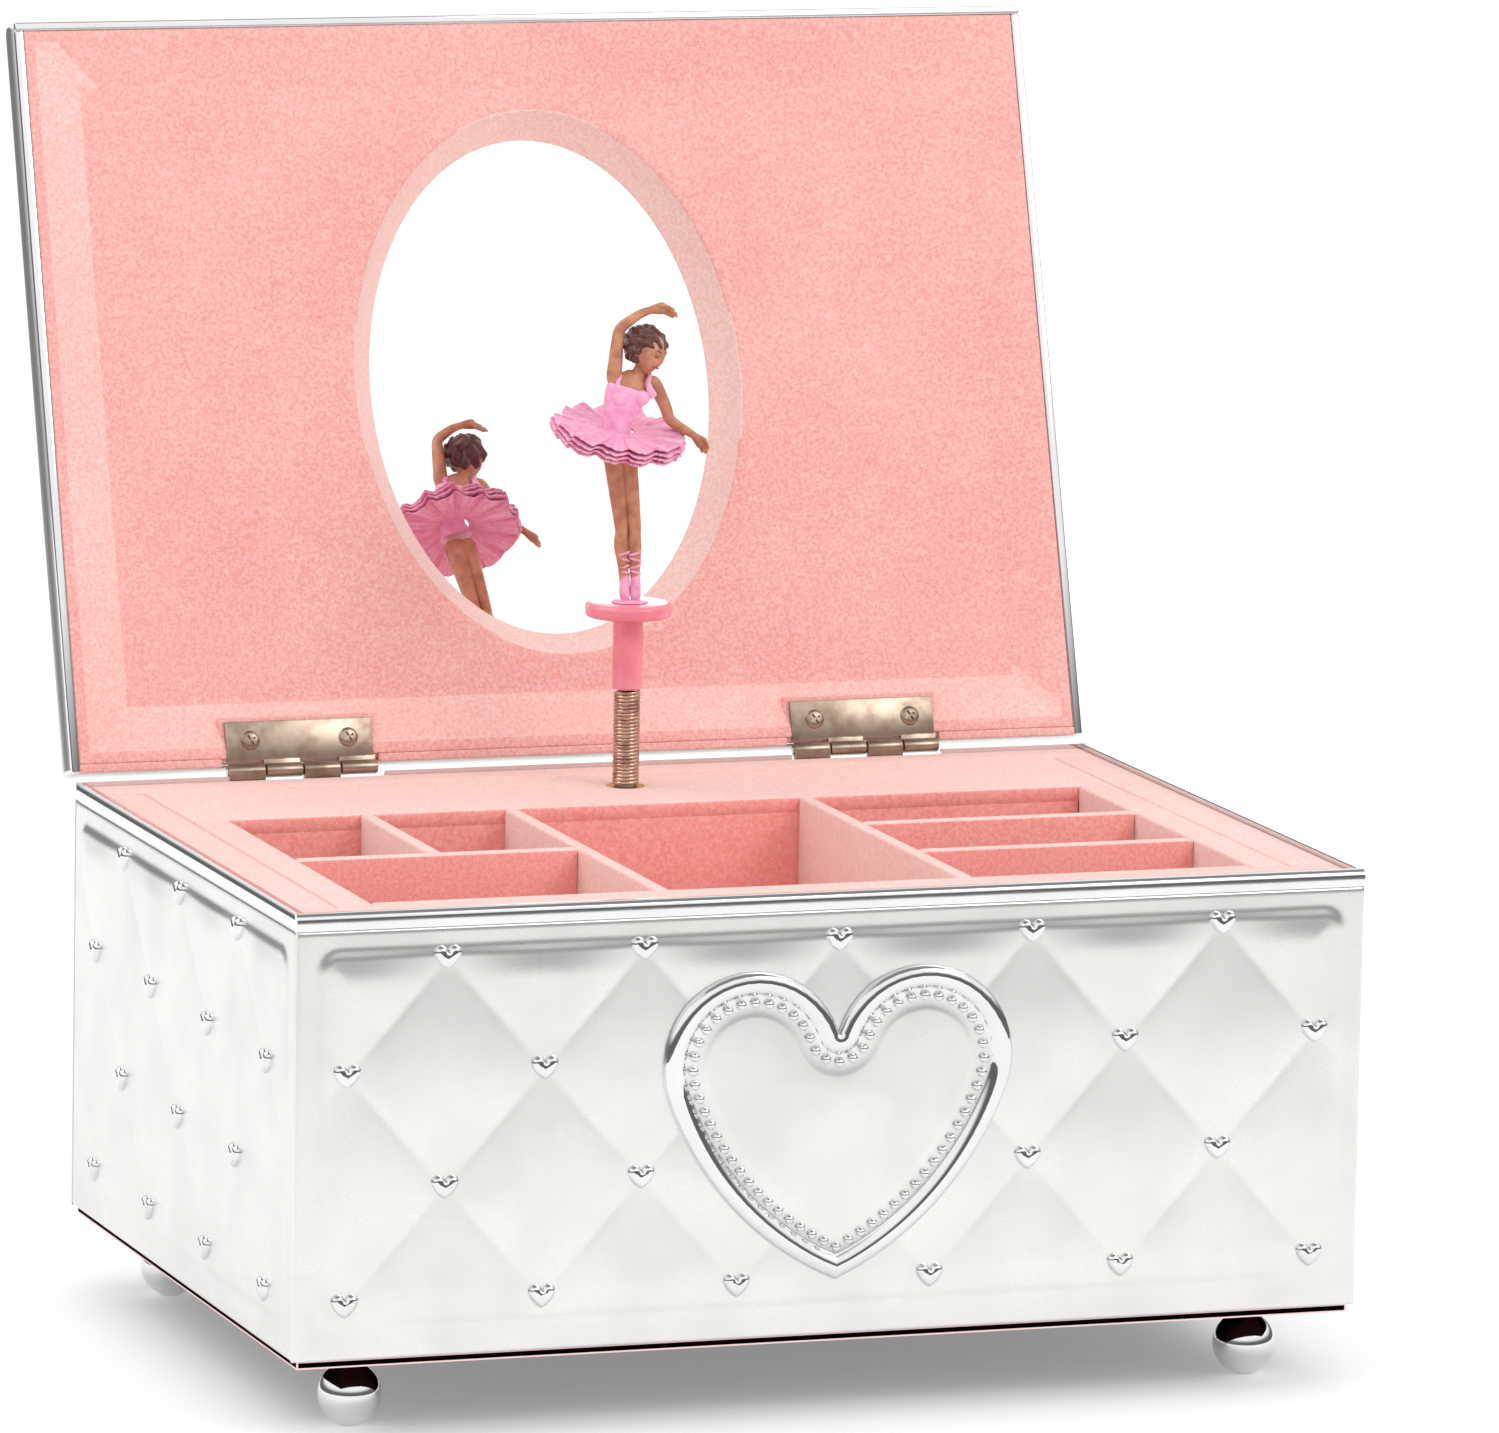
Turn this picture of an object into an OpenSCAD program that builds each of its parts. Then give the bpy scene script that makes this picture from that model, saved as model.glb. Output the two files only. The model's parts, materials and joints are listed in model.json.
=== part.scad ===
// Ballerina jewellery box with a musical movement, drawn open: the lid leans back on its hinges
// and the dancer stands on her spring. Millimetres, +Z up, X to the right, Y to the back.

/* [Box] */
// Width over the side skins
box_w = 178; // [170:1:186]
// Depth over the front and back skins
box_d = 127; // [125:1:131]
// Height of the quilted shell
shell_h = 71; // [70:1:76]
// Height of the shell's lower edge above the table
foot_h = 13.3; // [13:0.1:14]
// Diameter of a ball foot
ball_d = 10.2; // [9:0.1:10.4]
// Distance from a foot's centre to the outer faces
foot_inset = 13.5; // [12:0.5:16]

/* [Lid] */
// Angle between the closed lid and the open lid
lid_open = 108; // [100:1:112]
// Height of the lid's upright edge
lid_edge_h = 6; // [5.6:0.1:6.4]
// Height that the quilted lid field stands above the edge
lid_dome_h = 6; // [6:0.1:7]
// Gap between the rim and the closed lid
lid_gap = 1; // [1:0.05:1.2]

/* [Tray] */
// Thickness of a tray divider
divider_t = 2.4; // [2:0.1:3]
// Depth of the compartments
tray_depth = 38.4; // [34:0.1:39]
// Width of the middle compartment
middle_w = 48.6; // [44:0.2:50]

/* [Dancer] */
// Height of the coil spring above the ledge
spring_h = 16.2; // [15.5:0.1:16.5]
// Diameter of the disc that the dancer stands on
disc_d = 14.3; // [13:0.1:14.6]
// Height from the disc to the raised hand
dancer_h = 51; // [49:0.5:52]

/* [Hidden] */
$fn = 48;
eps = 0.01;

// Levels above the table
rim_z = foot_h + shell_h;
tray_z = rim_z - 0.7;
felt_t = 1.3;
base_t = 4;
base_top = foot_h + base_t;
floor_z = tray_z - tray_depth;
floor_t = 1.5;

// Wall build-up, from the outside in
half_w = box_w / 2;
half_d = box_d / 2;
skin_t = 1.4;
wall_t = 7.6;
in_w = half_w - skin_t - wall_t;
in_d = half_d - skin_t - wall_t;
slip = 0.3;
rim_h = 2.8;
rim_t = 1.4;

// Quilt: rows of studs at the corners of the diamonds
quilt_px = 32.3;
quilt_pz = 18.2;
quilt_low = 8.7;
stud_d = 4.4;
relief = 0.9;
plaque_h = 1.1;
plaque_w = 58.4;
plaque_z = 33.9;
field_side = 3;
field_top = 5.6;
field_low = 4.6;

// Hinges
hinge_y = half_d + 0.3;
hinge_z = rim_z + lid_gap / 2;
barrel_r = 1.2;
pin_r = 0.55;
leaf_t = 0.8;
leaf_sink = 1.6;
leaf_w = 8.4;
leaf_len = 26;
leaf_screw_x = 8.5;
leaf_screw_y = 5.2;
leaf_rise_w = 1.2;
leaf_x = 49.6;
knuckles = 4;
screw_head_r = 1.65;

// Lid, drawn closed and turned about the hinge
lid_z = rim_z + lid_gap;
lid_back = hinge_y - 0.9;
lid_flange = 1.2;
panel_step = 2.4;
panel_land = 2.8;
panel_in = 11.6;
oval_cy = hinge_y - 64.8;
oval_a = 34;
oval_b = 46.4;
oval_in = 4.1;
oval_step = 5.5;
hill_in0 = 4;
hill_in1 = 9;
hill_wall = 1.4;
glass_t = 1.5;

// Spindle line, and the fold of the spring
spindle_y = half_d - 20.5;
ledge_front = 25.5;
ledge_t = 2.5;
spindle_r = 1.5;
coils = 26;
spring_r = 2.25;
plug_h = 12;
plug_r = 1.3;
stem_z = spring_h + 0.1;
stem_r = 2.5;
stem_bore_h = 5;
disc_t = 2.4;
disc_z = 28.4;

// Tray
tray_x = in_w - slip;
cell_x = 73.6;
cell_front = -in_d + slip + divider_t;
cross_y = -12;

// Movement
plate_t = 2;
plate_z = base_top;
plate_top = plate_z + plate_t;
drum_r = 10;
drum_z = plate_top + 0.7;
drum_h = 7;
crown_r = 8.6;
crown_n = 34;
pinion_n = 16;
pinion_r = crown_r * pinion_n / crown_n;
cyl_z = drum_z + drum_h + pinion_r + 1;
cyl_r = 6.5;
cyl_x0 = 13;
cyl_x1 = 33;
gear_n = 30;
gear_r = 6;
gov_n = 10;
gov_arbor_r = 0.6;
gov_r = gear_r * gov_n / gear_n;
gov_y = spindle_y - gear_r - gov_r;
fly_x = 39.6;
fly_w = 2.8;
fly_r = 5;
comb_y = spindle_y - cyl_r - 0.6;
comb_z = cyl_z - 0.4;
comb_n = 18;
comb_pitch = 1.05;
spring_turns = 5;
spring_steps = 16;
key_top = foot_h - felt_t - 0.7;

// The box's middle, measured from the middle of the open object's outline
lid_tip_y = hinge_y + (hinge_y + half_d - hill_in1) * sin(lid_open - 90)
    + (lid_gap / 2 + lid_edge_h + lid_dome_h) * cos(lid_open - 90);
box_y = -(lid_tip_y - half_d - relief - plaque_h) / 2;

module at_box() {
    translate([0, box_y, 0]) children();
}

module block(x0, x1, y0, y1, z0, z1) {
    translate([x0, y0, z0]) cube([x1 - x0, y1 - y0, z1 - z0]);
}

module turn_y() {
    translate([0, spindle_y, 0]) children();
}

// ---- case ----

module wall_front() {
    color("lightpink") at_box()
        block(-in_w - wall_t, in_w + wall_t, -in_d - wall_t, -in_d, foot_h, tray_z);
}

module wall_back() {
    color("lightpink") at_box() difference() {
        block(-in_w - wall_t, in_w + wall_t, in_d, in_d + wall_t, foot_h, tray_z);
        hinge_screw_holes(1.05, tray_z - 7);
        for (x = [-leaf_x, leaf_x]) block(x - leaf_len / 2, x + leaf_len / 2, hinge_y - leaf_w - 0.1,
            half_d, hinge_z - leaf_sink - leaf_t, rim_z);
    }
}

module side_wall() {
    block(in_w, in_w + wall_t, -in_d, in_d, foot_h, tray_z);
}

module wall_left() {
    color("lightpink") at_box() mirror([1, 0, 0]) side_wall();
}

module wall_right() {
    color("lightpink") at_box() side_wall();
}

// A heart lying in the XY plane, point down and centred, w wide: two lobes and the kite between them
module heart_2d(w) {
    r = 0.257 * w;
    lobe_x = 0.243 * w;
    tip = 0.6 * w;
    side_l = sqrt(lobe_x * lobe_x + tip * tip - r * r);
    side_a = atan2(tip, lobe_x) - atan2(r, side_l);
    side_x = side_l * cos(side_a);
    side_y = side_l * sin(side_a) - tip;
    translate([0, (tip - r) / 2]) union() {
        polygon([[0, -tip], [side_x, side_y], [lobe_x, 0], [-lobe_x, 0], [-side_x, side_y]]);
        for (side = [-1, 1]) translate([side * lobe_x, 0]) circle(r, $fn = 32);
    }
}

// A plate with rounded corners, standing up from the XY plane
module rounded_plate(w, h, r, t) {
    linear_extrude(t) union() {
        square([w - 2 * r, h], center = true);
        square([w, h - 2 * r], center = true);
        for (x = [-1, 1], y = [-1, 1]) translate([x * (w / 2 - r), y * (h / 2 - r)]) circle(r);
    }
}

// The quilt's studs: rows of n and n + 1 on alternate heights, none within clear of the plaque's middle
module quilt_studs(n, clear, centre_h) {
    for (row = [0:3]) {
        count = row % 2 == 0 ? n + 1 : n;
        z = quilt_low + row * quilt_pz;
        for (i = [0:count - 1]) {
            x = (i - (count - 1) / 2) * quilt_px;
            hidden = abs(x) < clear && abs(z - centre_h) < clear;
            if (!hidden) translate([x, z]) linear_extrude(relief + 0.7) heart_2d(stud_d);
        }
    }
}

// A stamped side, lying in the XY plane with its foot at y = 0 and its face up
module skin_panel(w, n, plaque) {
    field_h = shell_h - field_top - field_low;
    union() {
        translate([-w / 2, 0, 0]) cube([w, shell_h - rim_h, skin_t]);
        translate([0, field_low + field_h / 2, skin_t - eps])
            rounded_plate(w - 2 * field_side, field_h, 4, relief + eps);
        translate([0, 0, skin_t]) quilt_studs(n, plaque ? 25 : 0, plaque_z);
        if (plaque) translate([0, plaque_z, skin_t]) linear_extrude(relief + plaque_h) heart_2d(plaque_w);
    }
}

module skin_front() {
    color("gainsboro") at_box() translate([0, -half_d + skin_t, foot_h])
        rotate([90, 0, 0]) skin_panel(box_w, 5, true);
}

module skin_back() {
    color("gainsboro") at_box() translate([0, half_d - skin_t, foot_h])
        rotate([90, 0, 180]) skin_panel(box_w, 5, false);
}

module side_skin() {
    translate([half_w - skin_t, 0, foot_h]) rotate([90, 0, 90])
        skin_panel(box_d - 2 * skin_t, 3, false);
}

module skin_left() {
    color("gainsboro") at_box() mirror([1, 0, 0]) side_skin();
}

module skin_right() {
    color("gainsboro") at_box() side_skin();
}

// A rolled edge of length w along X, its outer face at y = 0
module rolled_edge(w) {
    translate([-w / 2, 0, rim_z - rim_h]) rotate([90, 0, 90]) linear_extrude(w) union() {
        square([rim_t, rim_h - rim_t / 2]);
        translate([rim_t / 2, rim_h - rim_t / 2]) circle(rim_t / 2);
    }
}

module rim_front() {
    color("silver") at_box() translate([0, -half_d, 0]) rolled_edge(box_w);
}

module rim_back() {
    cut = leaf_len + 0.8;
    color("silver") at_box() difference() {
        translate([0, half_d, 0]) mirror([0, 1, 0]) rolled_edge(box_w);
        for (x = [-leaf_x, leaf_x])
            block(x - cut / 2, x + cut / 2, half_d - rim_t - 1, half_d + 1,
                hinge_z - leaf_sink - leaf_t - 0.1, rim_z + 1);
    }
}

module side_rim() {
    translate([half_w, 0, 0]) rotate(90) rolled_edge(box_d - 2 * rim_t);
}

module rim_left() {
    color("silver") at_box() mirror([1, 0, 0]) side_rim();
}

module rim_right() {
    color("silver") at_box() side_rim();
}

module base_board() {
    color("lightpink") at_box() difference() {
        block(-in_w, in_w, -in_d, in_d, foot_h, base_top);
        at_feet() {
            translate([0, 0, foot_h - 1]) cylinder(r = 1.6, h = base_t + 2);
            translate([0, 0, base_top - 2]) cylinder(r = 3, h = 3);
        }
        turn_y() translate([0, 0, foot_h - 1]) cylinder(r = 4.2, h = base_t + 2);
        at_plate_screws() translate([0, 0, base_top - 3]) cylinder(r = 1.2, h = 4);
    }
}

module base_felt() {
    color("pink") at_box() difference() {
        block(-half_w + 1, half_w - 1, -half_d + 1, half_d - 1, foot_h - felt_t, foot_h);
        at_feet() translate([0, 0, foot_h - felt_t - 1]) cylinder(r = 1.6, h = felt_t + 2);
        turn_y() translate([0, 0, foot_h - felt_t - 1]) cylinder(r = 4.2, h = felt_t + 2);
    }
}

module at_feet() {
    for (x = [-1, 1], y = [-1, 1])
        translate([x * (half_w - foot_inset), y * (half_d - foot_inset), 0]) children();
}

// A turned foot: a ball with a small flat to stand on and a neck up to the felt
module ball_feet() {
    ball_r = ball_d / 2;
    color("silver") at_box() at_feet() difference() {
        union() {
            translate([0, 0, ball_r - 0.1]) sphere(ball_r, $fn = 64);
            translate([0, 0, ball_r]) cylinder(r = 2.6, h = foot_h - felt_t - ball_r);
        }
        translate([0, 0, -2]) cylinder(r = ball_r, h = 2);
        translate([0, 0, ball_r - 0.2]) cylinder(r = 1.5, h = foot_h);
    }
}

module foot_screws() {
    color("darkgray") at_box() at_feet() difference() {
        union() {
            translate([0, 0, ball_d / 2]) cylinder(r = 1.45, h = base_top - 1.5 - ball_d / 2);
            translate([0, 0, base_top - 2]) cylinder(r = 2.8, h = 1.7);
        }
        cross_slot(base_top - 0.3, 1.6);
    }
}

// The cross in a screw head, cut down from its top
module cross_slot(top, r) {
    for (a = [0, 90]) translate([0, 0, top]) rotate(a) cube([2 * r, 0.5, 1], center = true);
}

// ---- ledge and tray ----

module ledge_board() {
    color("mistyrose") at_box() difference() {
        block(-in_w + slip, in_w - slip, ledge_front, in_d - slip, tray_z - ledge_t, tray_z);
        turn_y() translate([0, 0, tray_z - ledge_t - 1]) cylinder(r = 3.2, h = ledge_t + 2);
    }
}

module spindle_bush() {
    color("goldenrod") at_box() turn_y() difference() {
        union() {
            translate([0, 0, tray_z - ledge_t]) cylinder(r = 3.2, h = ledge_t);
            translate([0, 0, tray_z - ledge_t - 0.8]) cylinder(r = 4.4, h = 0.8);
        }
        translate([0, 0, tray_z - ledge_t - 2]) cylinder(r = spindle_r + 0.05, h = ledge_t + 3);
    }
}

module tray_floor() {
    color("salmon") at_box()
        block(-tray_x, tray_x, -in_d + slip, ledge_front + divider_t, floor_z - floor_t, floor_z);
}

module tray_side() {
    block(cell_x, tray_x, -in_d + slip, ledge_front, floor_z, tray_z);
}

module tray_side_left() {
    color("lightpink") at_box() mirror([1, 0, 0]) tray_side();
}

module tray_side_right() {
    color("lightpink") at_box() tray_side();
}

module tray_front() {
    color("lightpink") at_box() block(-cell_x, cell_x, -in_d + slip, cell_front, floor_z, tray_z);
}

module tray_bulkhead() {
    color("salmon") at_box()
        block(-cell_x, cell_x, ledge_front, ledge_front + divider_t, floor_z, tray_z - ledge_t);
}

module long_divider() {
    block(middle_w / 2, middle_w / 2 + divider_t, cell_front, ledge_front, floor_z, tray_z);
}

module divider_left() {
    color("lightpink") at_box() mirror([1, 0, 0]) long_divider();
}

module divider_right() {
    color("lightpink") at_box() long_divider();
}

module divider_left_cross() {
    color("lightpink") at_box() block(-cell_x, -middle_w / 2 - divider_t,
        cross_y - divider_t / 2, cross_y + divider_t / 2, floor_z, tray_z);
}

module divider_left_short() {
    x = -(cell_x + middle_w / 2 + divider_t) / 2;
    color("lightpink") at_box() block(x - divider_t / 2, x + divider_t / 2,
        cross_y + divider_t / 2, ledge_front, floor_z, tray_z);
}

module dividers_right_cross() {
    step = (ledge_front - cell_front + divider_t) / 3;
    color("lightpink") at_box() for (i = [1:2])
        block(middle_w / 2 + divider_t, cell_x, ledge_front - i * step, ledge_front - i * step + divider_t,
            floor_z, tray_z);
}

// ---- hinges ----

module at_hinges() {
    for (x = [-leaf_x, leaf_x]) translate([x, hinge_y, hinge_z]) children();
}

module hinge_screw_holes(r, z0) {
    for (x = [-leaf_x, leaf_x], dx = [-leaf_screw_x, leaf_screw_x])
        translate([x + dx, hinge_y - leaf_screw_y, z0]) cylinder(r = r, h = rim_z - z0);
}

// A leaf in the closed position about the pin at the origin: side 1 lies above the pin in the lid, and
// side -1 is let into the wall below it
module hinge_leaf(side) {
    k = leaf_len / knuckles;
    z0 = side > 0 ? 0.4 : -leaf_sink - leaf_t;
    difference() {
        union() {
            translate([-leaf_len / 2 + 0.3, -leaf_w, z0]) cube([leaf_len - 0.6, leaf_w - 1.6, leaf_t]);
            for (i = [0:knuckles - 1]) if ((i % 2 == 0) == (side < 0)) {
                translate([-leaf_len / 2 + i * k + 0.1, -1.8, z0]) cube([k - 0.2, 1.8, leaf_t]);
                if (side < 0) translate([-leaf_len / 2 + i * k + 0.1, -leaf_rise_w, z0])
                    cube([k - 0.2, leaf_rise_w, leaf_sink + leaf_t]);
                translate([-leaf_len / 2 + i * k + 0.1, 0, 0]) rotate([0, 90, 0])
                    cylinder(r = barrel_r, h = k - 0.2);
            }
        }
        translate([-leaf_len, 0, 0]) rotate([0, 90, 0]) cylinder(r = pin_r + 0.04, h = 2 * leaf_len);
        for (dx = [-leaf_screw_x, leaf_screw_x]) translate([dx, -leaf_screw_y, 0]) {
            translate([0, 0, -3]) cylinder(r = 1, h = 6);
            translate([0, 0, side > 0 ? z0 - eps : z0 + 0.15])
                cylinder(r1 = side > 0 ? screw_head_r : 1, r2 = side > 0 ? 1 : screw_head_r,
                    h = leaf_t - 0.15 + eps);
        }
    }
}

// A countersunk screw with its face at z = 0, pointing down
module leaf_screw() {
    difference() {
        union() {
            translate([0, 0, -0.65]) cylinder(r1 = 0.95, r2 = screw_head_r - 0.05, h = 0.65);
            cylinder(r = screw_head_r - 0.05, h = 0.22);
            translate([0, 0, -4.6]) cylinder(r = 0.95, h = 4.6);
        }
        cross_slot(0.22, 1.1);
    }
}

module hinge_body_leaves() {
    color("tan") at_box() at_hinges() hinge_leaf(-1);
}

module hinge_pins() {
    color("gray") at_box() at_hinges()
        translate([-leaf_len / 2, 0, 0]) rotate([0, 90, 0]) cylinder(r = pin_r, h = leaf_len);
}

module hinge_body_screws() {
    color("gray") at_box() at_hinges()
        for (dx = [-leaf_screw_x, leaf_screw_x]) translate([dx, -leaf_screw_y, -leaf_sink]) leaf_screw();
}

// ---- lid ----

module lid_pose() {
    at_box() translate([0, hinge_y, hinge_z]) rotate([-lid_open, 0, 0])
        translate([0, -hinge_y, -hinge_z]) children();
}

module hinge_lid_leaves() {
    color("tan") lid_pose() at_hinges() hinge_leaf(1);
}

module hinge_lid_screws() {
    color("gray") lid_pose() at_hinges()
        for (dx = [-leaf_screw_x, leaf_screw_x]) translate([dx, -leaf_screw_y, 0.4]) mirror([0, 0, 1]) leaf_screw();
}

// Room for the barrels and the lid leaves' roots in the lid's back edge
module lid_hinge_cuts(extra) {
    for (x = [-leaf_x, leaf_x])
        block(x - leaf_len / 2 - extra, x + leaf_len / 2 + extra, lid_back - 1.6, hinge_y + 3,
            lid_z - 1, hinge_z + barrel_r + 0.2);
}

// A flat-topped hill on the lid: a rectangle at z0 that draws in to a smaller one at z1
module lid_hill(inset0, inset1, z0, z1) {
    hull() {
        block(-half_w + inset0, half_w - inset0, -half_d + inset0, lid_back - inset0, z0, z0 + eps);
        block(-half_w + inset1, half_w - inset1, -half_d + inset1, lid_back - inset1, z1 - eps, z1);
    }
}

module lid_shell() {
    edge_z = lid_z + lid_edge_h;
    top_z = edge_z + lid_dome_h;
    color("gainsboro") lid_pose() difference() {
        union() {
            block(-half_w, half_w, -half_d, lid_back, lid_z + 1.2, edge_z);
            lid_hill(hill_in0, hill_in1, edge_z - eps, top_z);
            translate([0, (lid_back - half_d) / 2, top_z - eps]) lid_studs();
        }
        block(-half_w + lid_flange, half_w - lid_flange, -half_d + lid_flange, lid_back - lid_flange,
            lid_z, edge_z - 1);
        lid_hill(hill_in0 + hill_wall, hill_in1 + hill_wall, edge_z - 1 - eps, top_z - 1);
        lid_hinge_cuts(0.3);
    }
}

module lid_studs() {
    for (row = [-2:2]) {
        count = row % 2 == 0 ? 5 : 4;
        for (i = [0:count - 1])
            translate([(i - (count - 1) / 2) * quilt_px, row * quilt_pz, 0])
                linear_extrude(0.7) heart_2d(stud_d);
    }
}

module lid_trim() {
    color("silver") lid_pose() difference() {
        block(-half_w, half_w, -half_d, lid_back, lid_z, lid_z + 1.2);
        block(-half_w + rim_t, half_w - rim_t, -half_d + rim_t, lid_back - rim_t, lid_z - 1, lid_z + 2);
        lid_hinge_cuts(0.3);
    }
}

function oval(a, b) = [for (i = [0:71]) [a * cos(i * 5), b * sin(i * 5)]];

// The liner: a flat land, a sloping border down to the panel, and the bevelled oval opening
module lid_liner() {
    edge_z = lid_z + lid_edge_h;
    color("lightpink") lid_pose() difference() {
        union() {
            block(-half_w + rim_t + 0.05, half_w - rim_t - 0.05, -half_d + rim_t + 0.05,
                lid_back - rim_t - 0.05, lid_z + 0.15, edge_z - 1.1);
            translate([0, oval_cy, edge_z - 1.1 - eps]) linear_extrude(lid_z + panel_step + oval_step - edge_z + 1.1)
                polygon(oval(oval_a + 5, oval_b + 5));
        }
        difference() {
            lid_panel_cut();
            for (x = [-leaf_x, leaf_x])
                block(x - leaf_len / 2, x + leaf_len / 2, hinge_y - leaf_w - 0.6, lid_back, lid_z, lid_z + 6);
        }
        for (x = [-leaf_x, leaf_x])
            block(x - leaf_len / 2 - 0.3, x + leaf_len / 2 + 0.3, hinge_y - leaf_w - 0.3, lid_back + 1,
                lid_z - 1, hinge_z + barrel_r);
        lid_hinge_cuts(0.3);
        translate([0, oval_cy, lid_z + panel_step - eps])
            linear_extrude(oval_step + 0.1, slices = 1,
                scale = [(oval_a - oval_in) / oval_a, (oval_b - oval_in) / oval_b])
                polygon(oval(oval_a, oval_b));
        for (x = [-leaf_x, leaf_x], dx = [-leaf_screw_x, leaf_screw_x])
            translate([x + dx, hinge_y - leaf_screw_y, lid_z]) cylinder(r = 1, h = lid_edge_h);
    }
}

// What is cut away under the liner's border: a hill that draws in from the land to the panel
module lid_panel_cut() {
    hull() {
        block(-half_w + panel_land, half_w - panel_land, -half_d + panel_land, lid_back - panel_land,
            lid_z + 0.14, lid_z + 0.15);
        block(-half_w + panel_in, half_w - panel_in, -half_d + panel_in, lid_back - panel_in,
            lid_z + panel_step - eps, lid_z + panel_step);
    }
    block(-half_w + panel_land, half_w - panel_land, -half_d + panel_land, lid_back - panel_land,
        lid_z - 1, lid_z + 0.15);
}

module mirror_z(z) {
    translate([0, oval_cy, lid_z + panel_step + oval_step + z]) children();
}

module lid_mirror() {
    color("white") lid_pose() mirror_z(0) linear_extrude(glass_t) polygon(oval(oval_a + 2, oval_b + 2));
}

module mirror_backing() {
    color("burlywood") lid_pose() mirror_z(glass_t)
        linear_extrude(1) polygon(oval(oval_a + 5, oval_b + 5));
}

// ---- movement ----

module at_plate_screws() {
    for (p = [[-11, 18], [36, 18], [-12, 51]]) translate([p[0], p[1], 0]) children();
}

module movement_bedplate() {
    color("goldenrod") at_box() difference() {
        block(-15, 46, 14, 54, plate_z, plate_top);
        turn_y() translate([0, 0, plate_z - 1]) cylinder(r = 3, h = plate_t + 2);
        at_plate_screws() translate([0, 0, plate_z - 1]) cylinder(r = 1.3, h = plate_t + 2);
    }
}

module bedplate_screws() {
    color("darkgray") at_box() at_plate_screws() difference() {
        union() {
            translate([0, 0, base_top - 2.8]) cylinder(r = 1.15, h = plate_t + 2.8);
            translate([0, 0, plate_top]) cylinder(r = 2.2, h = 1.2);
        }
        cross_slot(plate_top + 1.2, 1.3);
    }
}

module arbor_bush() {
    color("darkgoldenrod") at_box() turn_y() difference() {
        translate([0, 0, plate_z]) cylinder(r = 3, h = plate_t + 0.4);
        translate([0, 0, plate_z - 1]) cylinder(r = spindle_r + 0.05, h = plate_t + 3);
    }
}

module spring_drum() {
    color("goldenrod") at_box() turn_y() difference() {
        translate([0, 0, drum_z]) cylinder(r = drum_r, h = drum_h, $fn = 64);
        translate([0, 0, drum_z + 0.8]) cylinder(r = drum_r - 0.8, h = drum_h, $fn = 64);
        translate([0, 0, drum_z - 1]) cylinder(r = spindle_r + 0.05, h = 3);
    }
}

// The drum's cover carries the crown of pegs and the spindle
module drum_cover() {
    top = drum_z + drum_h;
    color("gold") at_box() turn_y() union() {
        translate([0, 0, top - 1]) cylinder(r = drum_r - 0.8, h = 1, $fn = 64);
        for (i = [0:crown_n - 1]) rotate((i + 0.5) * 360 / crown_n)
            translate([crown_r, 0, top - 0.2]) cylinder(r = 0.25, h = 1.55, $fn = 16);
        translate([0, 0, top - eps]) cylinder(r = 3, h = 1.4);
        cylinder_between(top, tray_z + 1.2, spindle_r);
    }
}

module cylinder_between(z0, z1, r) {
    translate([0, 0, z0]) cylinder(r = r, h = z1 - z0);
}

function spiral(r0) = [for (i = [0:spring_turns * spring_steps])
    let (a = i * 360 / spring_steps, r = r0 + 1.2 * i / spring_steps) [r * cos(a), r * sin(a)]];

module mainspring() {
    inner = spiral(2.3);
    outer = spiral(2.65);
    color("dimgray") at_box() turn_y() translate([0, 0, drum_z + 1.2]) linear_extrude(4.4)
        polygon(concat(outer, [for (i = [len(inner) - 1:-1:0]) inner[i]]));
}

module winding_arbor() {
    color("silver") at_box() turn_y() union() {
        cylinder_between(key_top - 6, drum_z + 5.6, spindle_r);
        translate([0, 0, drum_z + 1.4]) cylinder(r = 2.1, h = 3.6);
    }
}

// A flat butterfly key on a round hub, under the base
module winding_key() {
    wing = 11.5;
    color("silver") at_box() turn_y() difference() {
        union() {
            cylinder_between(key_top - 6.5, key_top, 3);
            block(-wing + 3, wing - 3, -0.9, 0.9, key_top - 9.5, key_top - 2);
            for (x = [-1, 1]) translate([x * (wing - 3.75), 0, key_top - 5.75]) rotate([90, 0, 0])
                cylinder(r = 3.75, h = 1.8, center = true);
        }
        cylinder_between(key_top - 6, key_top + 1, spindle_r);
    }
}

// Stands the XY plane up across X, at the cylinder's height
module across_x(x, y) {
    translate([x, y, cyl_z]) rotate([90, 0, 90]) children();
}

// A spur gear with n straight-sided teeth; depth and tooth widths are shares of the pitch
module gear_2d(n, r, turn = 0) {
    p = 2 * 3.1416 * r / n;
    union() {
        circle(r - 0.4 * p, $fn = 48);
        for (i = [0:n - 1]) rotate(turn + i * 360 / n)
            polygon([[r - 0.5 * p, -0.2 * p], [r, -0.17 * p], [r + 0.25 * p, -0.08 * p],
                [r + 0.25 * p, 0.08 * p], [r, 0.17 * p], [r - 0.5 * p, 0.2 * p]]);
    }
}

// Pins that pluck the comb, scattered over the cylinder by a fixed rule
module cylinder_pins() {
    for (i = [0:41]) {
        track = i % comb_n;
        turn = (i * 137 + track * 61) % 360;
        translate([cyl_x0 + 1.1 + track * comb_pitch, 0, 0]) rotate([turn, 0, 0])
            translate([0, 0, cyl_r - 0.2]) cylinder(r = 0.18, h = 0.45, $fn = 16);
    }
}

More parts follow.
